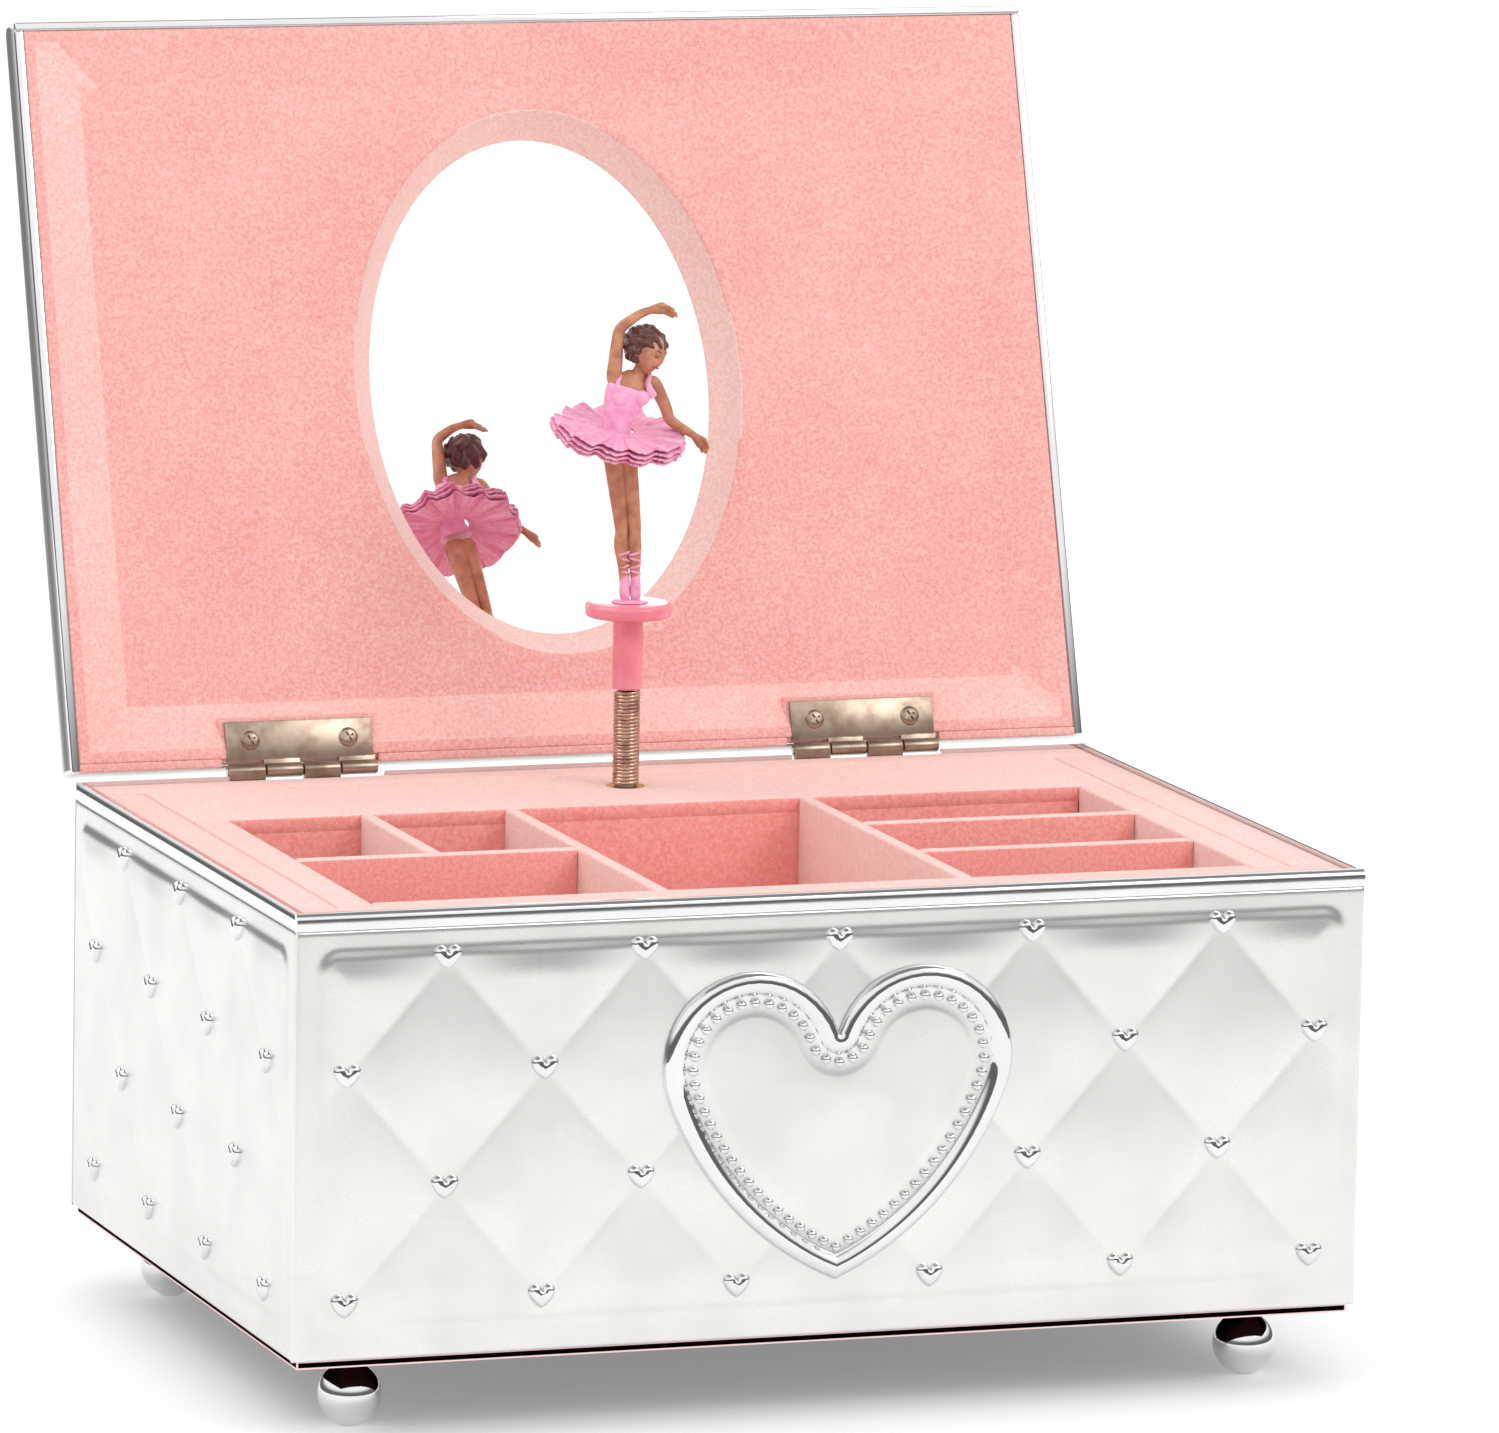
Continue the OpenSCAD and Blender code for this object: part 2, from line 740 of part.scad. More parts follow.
module pin_cylinder() {
    color("khaki") at_box() union() {
        across_x(cyl_x0, spindle_y) cylinder(r = cyl_r, h = cyl_x1 - cyl_x0, $fn = 64);
        translate([0, spindle_y, cyl_z]) cylinder_pins();
        across_x(6.9, spindle_y) cylinder(r = 0.8, h = 31);
        across_x(7.4, spindle_y) linear_extrude(2.4) union() {
            circle(pinion_r - 0.65);
            for (i = [0:pinion_n - 1]) rotate(90 + i * 360 / pinion_n)
                translate([pinion_r - 1, -0.22]) square([1.35, 0.44]);
        }
        across_x(35.8, spindle_y) linear_extrude(1.2) gear_2d(gear_n, gear_r);
    }
}

module cylinder_brackets() {
    color("goldenrod") at_box() for (x = [10.9, 33.9]) difference() {
        block(x, x + 1.3, spindle_y - 3, spindle_y + 3, plate_top, cyl_z + 3);
        across_x(x - 1, spindle_y) cylinder(r = 0.86, h = 4);
    }
}

module at_comb_screws() {
    for (x = [17, 29]) translate([x, comb_y - 14.5, 0]) children();
}

module comb_block() {
    color("goldenrod") at_box() difference() {
        block(cyl_x0, cyl_x1, comb_y - 18.5, comb_y - 10.5, plate_top, comb_z - 1);
        at_comb_screws() cylinder_between(comb_z - 8, comb_z, 1.1);
    }
}

module comb() {
    color("silver") at_box() difference() {
        block(cyl_x0 + 0.5, cyl_x1 - 0.5, comb_y - 18.5, comb_y, comb_z - 1, comb_z);
        for (i = [1:comb_n - 1]) translate([cyl_x0 + 0.55 + i * comb_pitch, 0, 0])
            block(-0.14, 0.14, comb_y - 9.5, comb_y + 1, comb_z - 2, comb_z + 1);
        at_comb_screws() cylinder_between(comb_z - 3, comb_z + 1, 1.2);
    }
}

module comb_screws() {
    color("darkgray") at_box() at_comb_screws() difference() {
        union() {
            cylinder_between(comb_z - 7, comb_z, 1.05);
            cylinder_between(comb_z, comb_z + 1.3, 2.1);
        }
        translate([0, 0, comb_z + 1.3]) cube([5, 0.6, 1], center = true);
    }
}

module governor_frame() {
    color("goldenrod") at_box() difference() {
        union() {
            for (x = [38, 43.2]) block(x, x + 0.8, gov_y - 2.5, gov_y + 2.5, plate_top, cyl_z + 2.5);
            block(38, 44, gov_y - 2.5, gov_y + 2.5, plate_top, plate_top + 0.8);
        }
        across_x(37, gov_y) cylinder(r = gov_arbor_r + 0.06, h = 8);
    }
}

module governor_wheel() {
    color("gold") at_box() union() {
        across_x(35.6, gov_y) cylinder(r = gov_arbor_r, h = 8.6);
        across_x(35.8, gov_y) linear_extrude(1.2) gear_2d(gov_n, gov_r, 18);
    }
}

// The air brake: two flat blades on the governor's arbor
module governor_fly() {
    color("gainsboro") at_box() across_x(fly_x, gov_y) linear_extrude(fly_w) difference() {
        union() {
            circle(1.3);
            square([2 * fly_r, 0.4], center = true);
        }
        circle(gov_arbor_r + 0.02);
    }
}

// ---- figure ----

module at_ledge() {
    at_box() turn_y() translate([0, 0, tray_z]) children();
}

// The close-wound spring, as a ribbed sleeve
module coil_spring() {
    pitch = spring_h / coils;
    ribs = [for (i = [0:coils - 1]) each [[spring_r - 0.25, i * pitch], [spring_r, (i + 0.5) * pitch]]];
    color("rosybrown") at_ledge() rotate_extrude()
        polygon(concat([[1.6, 0]], ribs, [[spring_r - 0.25, spring_h], [1.6, spring_h]]));
}

module spring_plug() {
    color("gray") at_ledge() cylinder_between(plug_h, stem_z + stem_bore_h - 0.2, plug_r);
}

module dancer_stand() {
    color("hotpink") at_ledge() difference() {
        union() {
            cylinder_between(stem_z, disc_z, stem_r);
            cylinder_between(disc_z, disc_z + disc_t, disc_d / 2);
        }
        cylinder_between(stem_z - 1, stem_z + stem_bore_h, plug_r + 0.08);
    }
}

// A tapered limb from a to b with a round end at b
module limb(a, b, r1, r2) {
    d = b - a;
    l = norm(d);
    translate(a) rotate([0, acos(d[2] / l), atan2(d[1], d[0])]) cylinder(r1 = r1, r2 = r2, h = l, $fn = 24);
    translate(b) sphere(1.07 * r2, $fn = 24);
}

module dancer() {
    s = dancer_h / 51;
    color("peru") at_ledge() translate([0, 0, disc_z + disc_t]) scale(s) union() {
        for (side = [-1, 1]) {
            limb([0.6 * side, 0, 5.2], [0.5 * side, -0.35 * side, 0.75], 0.95, 0.75);
            limb([side - 0.5, 0, 14], [0.6 * side, 0, 5.2], 1.35, 0.95);
            limb([1.3 * side - 1.7, 0, 25], [side - 0.5, 0, 14], 1.95, 1.35);
        }
        limb([-1.9, 0, 25], [-2.1, 0, 31.5], 3, 2.1);
        limb([-2.1, 0, 31.5], [-0.6, 0, 36], 2, 2.8);
        limb([-0.6, 0, 36], [1.2, -0.3, 40], 2.6, 1.2);
        translate([2.4, -0.8, 42.2]) sphere(3.3, $fn = 32);
        limb([-2.5, 0, 37.2], [-2.7, -0.1, 45.2], 1.15, 0.9);
        limb([-2.7, -0.1, 45.2], [2.9, -0.9, 49.5], 0.9, 0.62);
        limb([2.9, -0.9, 49.5], [6.8, -1.2, 48.6], 0.62, 0.52);
        limb([3, 0, 36.8], [6.2, -0.4, 30.8], 1.2, 0.88);
        limb([6.2, -0.4, 30.8], [11, -0.8, 27.4], 0.88, 0.6);
        limb([11, -0.8, 27.4], [12.7, -1, 25.3], 0.6, 0.5);
    }
}

// The skirt, a flared disc that tips to the front
module tutu() {
    color("hotpink") at_ledge() translate([-2, 0, disc_z + disc_t + 28]) rotate([12, 4, 0])
        difference() {
            rotate_extrude($fn = 64) polygon([[1, 3.5], [3.4, 3.5], [7, 2.2], [11.4, -0.4], [11.4, -2.4],
                [10.2, -3.2], [6, -1.2], [3.6, -2.6], [1, -2.6]]);
            translate([0, 0, -6]) cylinder(r = 3.8, h = 12);
        }
}

wall_front();
wall_back();
wall_left();
wall_right();
skin_front();
skin_back();
skin_left();
skin_right();
rim_front();
rim_back();
rim_left();
rim_right();
base_board();
base_felt();
ball_feet();
foot_screws();
ledge_board();
spindle_bush();
tray_floor();
tray_side_left();
tray_side_right();
tray_front();
tray_bulkhead();
divider_left();
divider_right();
divider_left_cross();
divider_left_short();
dividers_right_cross();
hinge_body_leaves();
hinge_pins();
hinge_body_screws();
hinge_lid_leaves();
hinge_lid_screws();
lid_shell();
lid_trim();
lid_liner();
lid_mirror();
mirror_backing();
movement_bedplate();
bedplate_screws();
arbor_bush();
spring_drum();
drum_cover();
mainspring();
winding_arbor();
winding_key();
pin_cylinder();
cylinder_brackets();
comb_block();
comb();
comb_screws();
governor_frame();
governor_wheel();
governor_fly();
coil_spring();
spring_plug();
dancer_stand();
dancer();
tutu();
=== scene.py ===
"""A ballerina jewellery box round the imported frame: quilted plated sides, flocked tray, mirror lid and dancer."""

import json
import math

import bmesh
import bpy
from mathutils import Euler, Matrix, Vector, noise


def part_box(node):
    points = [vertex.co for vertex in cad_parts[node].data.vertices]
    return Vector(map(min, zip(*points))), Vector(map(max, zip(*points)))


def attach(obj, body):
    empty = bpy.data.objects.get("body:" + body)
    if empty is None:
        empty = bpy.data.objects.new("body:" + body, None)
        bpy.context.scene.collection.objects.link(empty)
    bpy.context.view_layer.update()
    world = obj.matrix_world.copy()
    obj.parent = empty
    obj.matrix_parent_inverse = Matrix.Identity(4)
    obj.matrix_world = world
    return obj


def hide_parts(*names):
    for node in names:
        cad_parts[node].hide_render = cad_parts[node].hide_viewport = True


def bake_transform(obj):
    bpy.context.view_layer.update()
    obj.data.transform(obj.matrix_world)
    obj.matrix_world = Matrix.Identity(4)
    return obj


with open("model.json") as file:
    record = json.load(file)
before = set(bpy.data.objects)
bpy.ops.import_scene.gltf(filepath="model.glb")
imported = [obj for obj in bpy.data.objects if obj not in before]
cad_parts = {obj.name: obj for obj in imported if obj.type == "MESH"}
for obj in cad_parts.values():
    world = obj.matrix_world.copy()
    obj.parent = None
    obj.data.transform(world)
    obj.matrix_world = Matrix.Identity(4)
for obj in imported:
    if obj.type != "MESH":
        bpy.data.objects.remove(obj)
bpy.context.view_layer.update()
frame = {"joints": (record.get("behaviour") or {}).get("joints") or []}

bl_info = {
    "name": "Ballerina jewellery box",
    "version": (1, 0, 0),
    "blender": (4, 5, 0),
    "location": "3D View > Sidebar > Jewellery box",
    "description": "Builds the plated, flocked and painted pieces of a musical jewellery box",
    "category": "Object",
}

# The pieces are modelled in millimetres and scaled to metres when they are finished.
MM = 0.001
JOINTS = {joint["name"]: joint for joint in frame["joints"]}
HINGE = Vector(JOINTS["lid_hinge"]["pos_m"]) / MM
SPINDLE = Vector(JOINTS["drum_spin"]["pos_m"]) / MM
LID_TURN = -math.radians(JOINTS["lid_hinge"]["range_deg"][1])
# Maps the closed lid, measured from its hinge line, to where it stands open
LID_PLACE = Matrix.Translation(HINGE) @ Matrix.Rotation(LID_TURN, 4, "X")
RIGHT, BACK, UP = Vector((1, 0, 0)), Vector((0, 1, 0)), Vector((0, 0, 1))


def box_mm(node):
    """The lowest and highest corner of a CAD node, in millimetres."""
    low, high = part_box(node)
    return low / MM, high / MM


SHELL_LOW = Vector((box_mm("skin_left")[0].x + 1.6, box_mm("rim_front")[0].y, box_mm("skin_front")[0].z))
SHELL_HIGH = Vector((-SHELL_LOW.x, box_mm("rim_back")[1].y, box_mm("rim_front")[1].z))
LEDGE_TOP = box_mm("ledge_board")[1].z
RIM_H = box_mm("rim_front")[1].z - box_mm("rim_front")[0].z
DISC_TOP = box_mm("dancer_stand")[1].z


# ---- finishes ----


def linear(code):
    """A colour picked on screen as six hex digits, as the linear colour that the shaders use."""
    parts = [int(code[i : i + 2], 16) / 255 for i in (0, 2, 4)]
    return (*[c / 12.92 if c < 0.04045 else ((c + 0.055) / 1.055) ** 2.4 for c in parts], 1)


class Value:
    """A node's output that grows Math nodes when arithmetic is done on it."""

    def __init__(self, finish, socket):
        self.finish, self.socket = finish, socket

    def maths(self, operation, *values, clamp=False):
        settings = {"operation": operation, "use_clamp": clamp}
        return self.finish.node("ShaderNodeMath", settings, dict(enumerate(values)))

    def __add__(self, other):
        return self.maths("ADD", self, other)

    def __sub__(self, other):
        return self.maths("SUBTRACT", self, other)

    def __rsub__(self, other):
        return self.maths("SUBTRACT", other, self)

    def __mul__(self, other):
        return self.maths("MULTIPLY", self, other)

    def clip(self):
        return self.maths("ADD", self, 0, clamp=True)

    __radd__, __rmul__ = __add__, __mul__


class Finish:
    """A procedural material under construction; numbers that hold all over go straight on its shader."""

    def __init__(self, name, **constants):
        self.material = bpy.data.materials.new(name)
        self.material.use_nodes = True
        self.tree = self.material.node_tree
        self.tree.nodes.clear()
        self.shader = self.tree.nodes.new("ShaderNodeBsdfPrincipled")
        output = self.tree.nodes.new("ShaderNodeOutputMaterial")
        self.tree.links.new(self.shader.outputs[0], output.inputs[0])
        for key, value in constants.items():
            self.shader.inputs[key.replace("_", " ")].default_value = value
        self.spot = self.node("ShaderNodeTexCoord", out="Object")

    def node(self, kind, settings=None, inputs=None, out=0):
        made = self.tree.nodes.new(kind)
        for key, value in (settings or {}).items():
            if key == "stops":
                for index, (position, colour) in enumerate(value):
                    stops = made.color_ramp.elements
                    stop = stops[index] if index < len(stops) else stops.new(position)
                    stop.position, stop.color = position, colour
            else:
                setattr(made, key, value)
        for key, value in (inputs or {}).items():
            if isinstance(value, Value):
                self.tree.links.new(value.socket, made.inputs[key])
            else:
                made.inputs[key].default_value = value
        return Value(self, made.outputs[out])

    def grain(self, size_mm, detail=2.0, rough=0.5, stretch=None):
        """Noise whose blotches are about size_mm across, from 0 to 1."""
        spot = self.spot
        if stretch:
            spot = self.node("ShaderNodeMapping", None, {"Vector": spot, "Scale": stretch})
        inputs = {"Vector": spot, "Scale": 1 / (size_mm * MM), "Detail": detail, "Roughness": rough}
        return self.node("ShaderNodeTexNoise", None, inputs)

    def level(self, value, low, high, to_low=0.0, to_high=1.0):
        inputs = {0: value, 1: low, 2: high, 3: to_low, 4: to_high}
        return self.node("ShaderNodeMapRange", {"interpolation_type": "SMOOTHSTEP"}, inputs)

    def blend(self, mask, first, second):
        return self.node("ShaderNodeMix", {"data_type": "RGBA"}, {0: mask, 6: first, 7: second}, out=2)

    def put(self, name, value):
        self.tree.links.new(value.socket, self.shader.inputs[name])

    def bump(self, height, distance_mm, strength=1.0):
        inputs = {"Strength": strength, "Distance": distance_mm * MM, "Height": height}
        self.put("Normal", self.node("ShaderNodeBump", None, inputs))


def plated(name, colour, rough, spread, wear=0.02):
    """Silver or nickel plate: faint clouding, hairline marks and a hardly uneven skin."""
    finish = Finish(name, Metallic=1.0, IOR=2.2)
    cloud = finish.grain(14, 4)
    marks = finish.grain(1.2, 6, 0.7, (1, 1, 9))
    dull = tuple(c * 0.93 for c in colour[:3]) + (1,)
    finish.put("Base Color", finish.blend(finish.level(cloud, 0.35, 0.75), colour, dull))
    finish.put("Roughness", rough + spread * cloud + wear * marks)
    finish.bump(finish.grain(5, 3), 0.02, 0.25)
    return finish.material


def flocked(name, light, deep, grain_mm=0.6):
    """Flocked board: short fibres that glint at grazing angles, brushed into faint patches."""
    finish = Finish(name, Sheen_Weight=0.55, Sheen_Roughness=0.45, Sheen_Tint=linear("FFE4DE"))
    fibres = finish.grain(grain_mm, 5, 0.7)
    tufts = finish.grain(1.5, 3, 0.6)
    patches = finish.grain(24, 3)
    shade = (0.6 * finish.level(fibres, 0.36, 0.66) + 0.25 * tufts + 0.15 * finish.level(patches, 0.3, 0.7)).clip()
    finish.put("Base Color", finish.blend(shade, deep, light))
    finish.put("Roughness", 0.82 + 0.15 * fibres)
    finish.bump(fibres + 0.5 * tufts, 0.2, 0.8)
    return finish.material


def felted(name, light, deep):
    finish = Finish(name, Sheen_Weight=0.4, Sheen_Roughness=0.5)
    fibres = finish.grain(0.5, 6, 0.8, (1, 1, 3))
    finish.put("Base Color", finish.blend(fibres, deep, light))
    finish.put("Roughness", 0.85 + 0.1 * fibres)
    finish.bump(fibres, 0.2, 0.6)
    return finish.material


def brushed(name, colour, dark, rough, grain_mm=0.25, along=(1, 14, 14), tarnish_mm=5):
    """Nickel, brass or steel strip with fine rolling marks and a little tarnish."""
    finish = Finish(name, Metallic=1.0)
    lines = finish.grain(grain_mm, 4, 0.6, along)
    tarnish = finish.level(finish.grain(tarnish_mm, 4, 0.6), 0.4, 0.7)
    finish.put("Base Color", finish.blend(0.35 * lines + 0.65 * tarnish, colour, dark))
    finish.put("Roughness", rough + 0.12 * lines + 0.08 * tarnish)
    finish.bump(lines, 0.015, 0.35)
    return finish.material


def glossy(name, light, deep, rough=0.28, coat=0.4, mottle_mm=4.0):
    """Moulded or painted plastic with slight flow marks."""
    finish = Finish(name, Coat_Weight=coat, Coat_Roughness=0.12)
    flow = finish.grain(mottle_mm, 3)
    fine = finish.grain(0.5, 3)
    finish.put("Base Color", finish.blend(finish.level(flow, 0.3, 0.7), light, deep))
    finish.put("Roughness", rough + 0.1 * fine)
    finish.bump(flow + 0.2 * fine, 0.03, 0.3)
    return finish.material


def folded_dress(name, light, deep):
    """Painted tulle with painted shade: a deeper pink down in the folds, where a vertex attribute says a point lies
    deep in a ruffle.
    """
    finish = Finish(name, Coat_Weight=0.25, Coat_Roughness=0.25)
    fold = finish.node("ShaderNodeAttribute", {"attribute_name": "fold"}, out="Fac")
    brush = finish.grain(1.1, 4)
    depth = (0.85 * fold + 0.3 * finish.level(brush, 0.35, 0.7) - 0.1).clip()
    finish.put("Base Color", finish.blend(depth, light, deep))
    finish.put("Roughness", 0.36 + 0.15 * brush)
    finish.bump(finish.grain(0.35, 3), 0.03, 0.3)
    return finish.material


def painted_skin(name, light, deep):
    """The figure's painted skin, a little deeper in soft uneven patches."""
    finish = Finish(name, Coat_Weight=0.2, Coat_Roughness=0.3)
    wash = finish.grain(2.2, 4)
    finish.put("Base Color", finish.blend(finish.level(wash, 0.3, 0.7), light, deep))
    finish.put("Roughness", 0.38 + 0.14 * wash)
    finish.bump(finish.grain(0.4, 3), 0.02, 0.25)
    return finish.material


def combed_hair(name, light, deep):
    finish = Finish(name, Coat_Weight=0.35, Coat_Roughness=0.2)
    strands = finish.grain(0.28, 4, 0.6, (1, 1, 4))
    finish.put("Base Color", finish.blend(finish.level(strands, 0.35, 0.68), deep, light))
    finish.put("Roughness", 0.3 + 0.2 * strands)
    finish.bump(strands, 0.08, 0.7)
    return finish.material


def silvered(name):
    """The mirror's silvering, with the faintest haze."""
    finish = Finish(name, Metallic=1.0)
    haze = finish.grain(30, 2)
    finish.put("Base Color", finish.blend(haze, (0.97, 0.975, 0.98, 1), (0.94, 0.95, 0.96, 1)))
    finish.put("Roughness", 0.006 + 0.008 * haze)
    return finish.material


def pressed_card(name, light, deep):
    finish = Finish(name)
    pulp = finish.grain(0.8, 6, 0.8)
    finish.put("Base Color", finish.blend(pulp, deep, light))
    finish.put("Roughness", 0.75 + 0.2 * pulp)
    finish.bump(pulp, 0.08, 0.4)
    return finish.material


FINISHES = {}


def make_finishes(colours):
    """Makes every finish once, from the colours in the panel."""
    if FINISHES:
        return
    silver, pink, ledge = (*colours.silver, 1), (*colours.flock, 1), (*colours.ledge, 1)
    FINISHES.update(
        satin_silver=plated("satin_silver", silver, colours.satin_rough, 0.06),
        polished_silver=plated("polished_silver", (0.76, 0.76, 0.77, 1), 0.04, 0.03, 0.01),
        flock=flocked("pink_flock", pink, (*colours.flock_deep, 1)),
        pale_flock=flocked("pale_pink_flock", ledge, (*colours.ledge_deep, 1)),
        # painted light: a lighter pink for the lid liner's left and hinge-side slopes, where the light falls on
        # them
        brushed_flock=flocked("lit_slope_pink_flock", linear("FCD8D2"), linear("F0A8A0")),
        # painted shade: the deeper pink that forward-looking faces get in place of their shade
        salmon=flocked("salmon_flock", linear("FFBBB4"), linear("F18E87")),
        felt=felted("pink_felt", linear("F6B7B8"), linear("DE8E92")),
        nickel=brushed("warm_nickel", linear("B9A795"), linear("857060"), 0.24),
        steel=brushed("bright_steel", linear("D8D2CB"), linear("A19B96"), 0.2),
        spring_wire=brushed("spring_wire", linear("DDBFAA"), linear("8F6C58"), 0.18, 0.2, (1, 1, 1), 2),
        dark_steel=brushed("blued_steel", linear("9B9DA3"), linear("6E7077"), 0.28),
        brass=brushed("turned_brass", linear("DDBE78"), linear("B08A45"), 0.22),
        zinc=brushed("cast_zinc", linear("B4B5B8"), linear("85878B"), 0.42, 0.8, (1, 1, 1)),
        mirror=silvered("mirror_silvering"),
        card=pressed_card("backing_card", linear("C9AE86"), linear("A5885F")),
        pink_plastic=glossy("pink_plastic", linear("F3919F"), linear("E97F90")),
        dress=folded_dress("painted_dress", linear("F8BAD6"), linear("D9739F")),
        bodice=glossy("painted_bodice", linear("F5B0D0"), linear("E996BF"), 0.34, 0.3, 1.6),
        skin=painted_skin("painted_skin", linear("CB8C69"), linear("AB6C50")),
        hair=combed_hair("painted_hair", linear("7A4238"), linear("2C1512")),
        dark_paint=glossy("face_paint", linear("3A211C"), linear("2A1512"), 0.4, 0.2, 0.6),
        lip_paint=glossy("lip_paint", linear("A8544F"), linear("954743"), 0.35, 0.3, 0.6),
    )


# ---- making pieces ----


def piece(bm, name, body, finishes, slot, replaced=(), place=None, sharp=32):
    """Finishes a millimetre bmesh as an object in the row frame that rides on its body."""
    bmesh.ops.remove_doubles(bm, verts=bm.verts, dist=0.0005)
    bmesh.ops.dissolve_degenerate(bm, dist=0.0002, edges=bm.edges)
    bmesh.ops.recalc_face_normals(bm, faces=bm.faces)
    bmesh.ops.transform(bm, matrix=Matrix.Scale(MM, 4) @ (place or Matrix()), verts=bm.verts)
    mesh = bpy.data.meshes.new(name)
    bm.to_mesh(mesh)
    bm.free()
    mesh.polygons.foreach_set("use_smooth", [True] * len(mesh.polygons))
    mesh.set_sharp_from_angle(angle=math.radians(sharp))
    for finish in finishes:
        mesh.materials.append(FINISHES[finish])
    made = bpy.data.objects.new(name, mesh)
    bpy.context.scene.collection.objects.link(made)
    if body:
        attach(made, body)
    if replaced:
        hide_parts(*replaced)
    return made


def edges_of(items):
    return list({edge for vert in items for edge in vert.link_edges})


def bevel(bm, edges, offset, segments=3):
    bmesh.ops.bevel(
        bm,
        geom=list(edges),
        offset=offset,
        offset_type="OFFSET",
        segments=segments,
        profile=0.5,
        affect="EDGES",
        material=-1,
    )


def block(bm, low, high, edge=0.4, segments=3, place=None):
    """A box with rounded edges."""
    low, high = Vector(low), Vector(high)
    shape = Matrix.Translation((low + high) / 2) @ Matrix.Diagonal((*(high - low), 1))
    made = bmesh.ops.create_cube(bm, size=1, matrix=(place or Matrix()) @ shape)
    if edge:
        bevel(bm, edges_of(made["verts"]), edge, segments)


def turned(bm, outline, place=None, steps=64):
    """Spins an outline of (radius, height) pairs round the Z axis."""
    before = set(bm.verts)
    verts = [bm.verts.new((radius, 0, height)) for radius, height in outline]
    edges = [bm.edges.new(pair) for pair in zip(verts, verts[1:])]
    bmesh.ops.spin(
        bm, geom=verts + edges, cent=(0, 0, 0), axis=(0, 0, 1), angle=math.tau, steps=steps, use_merge=True
    )
    made = [vert for vert in bm.verts if vert not in before]
    bmesh.ops.transform(bm, matrix=place or Matrix(), verts=made)
    return made


def loft(bm, loops, cap_start=False, cap_end=False, material=0):
    """Extrudes a closed loop of points through the loops that follow, and may close the two ends."""
    verts = [bm.verts.new(point) for point in loops[0]]
    start = edges = [bm.edges.new((vert, verts[i - 1])) for i, vert in enumerate(verts)]
    for points in loops[1:]:
        made = bmesh.ops.extrude_edge_only(bm, edges=edges)["geom"]
        fresh = {item for item in made if isinstance(item, bmesh.types.BMVert)}
        verts = [next(edge.other_vert(v) for edge in v.link_edges if edge.other_vert(v) in fresh) for v in verts]
        edges = [item for item in made if isinstance(item, bmesh.types.BMEdge)]
        for vert, point in zip(verts, points):
            vert.co = point
        for face in (item for item in made if isinstance(item, bmesh.types.BMFace)):
            face.material_index = material
    for end, wanted in ((start, cap_start), (edges, cap_end)):
        if wanted:
            for face in bmesh.ops.contextual_create(bm, geom=end)["faces"]:
                face.material_index = material


def circle(centre, turn, wide, deep, sides):
    """Points round an ellipse, wide along the turned X axis and deep along Y."""
    angles = [math.tau * i / sides for i in range(sides)]
    return [centre + turn @ Vector((wide * math.cos(a), deep * math.sin(a), 0)) for a in angles]


def limb(bm, stations, sides=16, rounded=True):
    """A smooth tube through stations of (point, half width, half depth), closed at both ends."""
    points = [Vector(station[0]) for station in stations]
    sizes = [(s[1], s[2] if len(s) > 2 else s[1]) for s in stations]
    turn, ahead, loops = None, None, []
    for i, point in enumerate(points):
        way = (points[min(i + 1, len(points) - 1)] - points[max(i - 1, 0)]).normalized()
        turn = UP.rotation_difference(way) if turn is None else ahead.rotation_difference(way) @ turn
        ahead = way
        if rounded and i == 0:
            for part in (0.35, 0.75):
                size = math.sqrt(1 - (1 - part) ** 2)
                back = way * sizes[0][0] * (1 - part)
                loops.append(circle(point - back, turn, sizes[0][0] * size, sizes[0][1] * size, sides))
        loops.append(circle(point, turn, *sizes[i], sides))
        if rounded and i == len(points) - 1:
            for part in (0.75, 0.35):
                size = math.sqrt(1 - (1 - part) ** 2)
                on = way * sizes[i][0] * (1 - part)
                loops.append(circle(point + on, turn, sizes[i][0] * size, sizes[i][1] * size, sides))
    loft(bm, loops, True, True)


def smooth_path(points, parts=6):
    """Runs a soft curve through stations, whose first item is a point and whose others are numbers."""
    rows = [tuple(Vector(p[0])) + tuple(p[1:]) for p in points]
    out = []
    for i in range(len(rows) - 1):
        a, b, c, d = rows[max(i - 1, 0)], rows[i], rows[i + 1], rows[min(i + 2, len(rows) - 1)]
        for step in range(parts):
            t = step / parts
            out.append([
                0.5 * (2 * q + (r - p) * t + (2 * p - 5 * q + 4 * r - s) * t * t + (3 * q - p - 3 * r + s) * t**3)
                for p, q, r, s in zip(a, b, c, d)
            ])
    out.append(list(rows[-1]))
    return [(Vector(row[:3]), *row[3:]) for row in out]


def tilted(x, y, z):
    """A turn of x, y and z radians about the three axes."""
    return Euler((x, y, z)).to_matrix().to_4x4()


def ease(t):
    """Runs smoothly from 0 to 1 as t does."""
    t = min(max(t, 0.0), 1.0)
    return t * t * (3 - 2 * t)


# ---- hearts and quilting ----


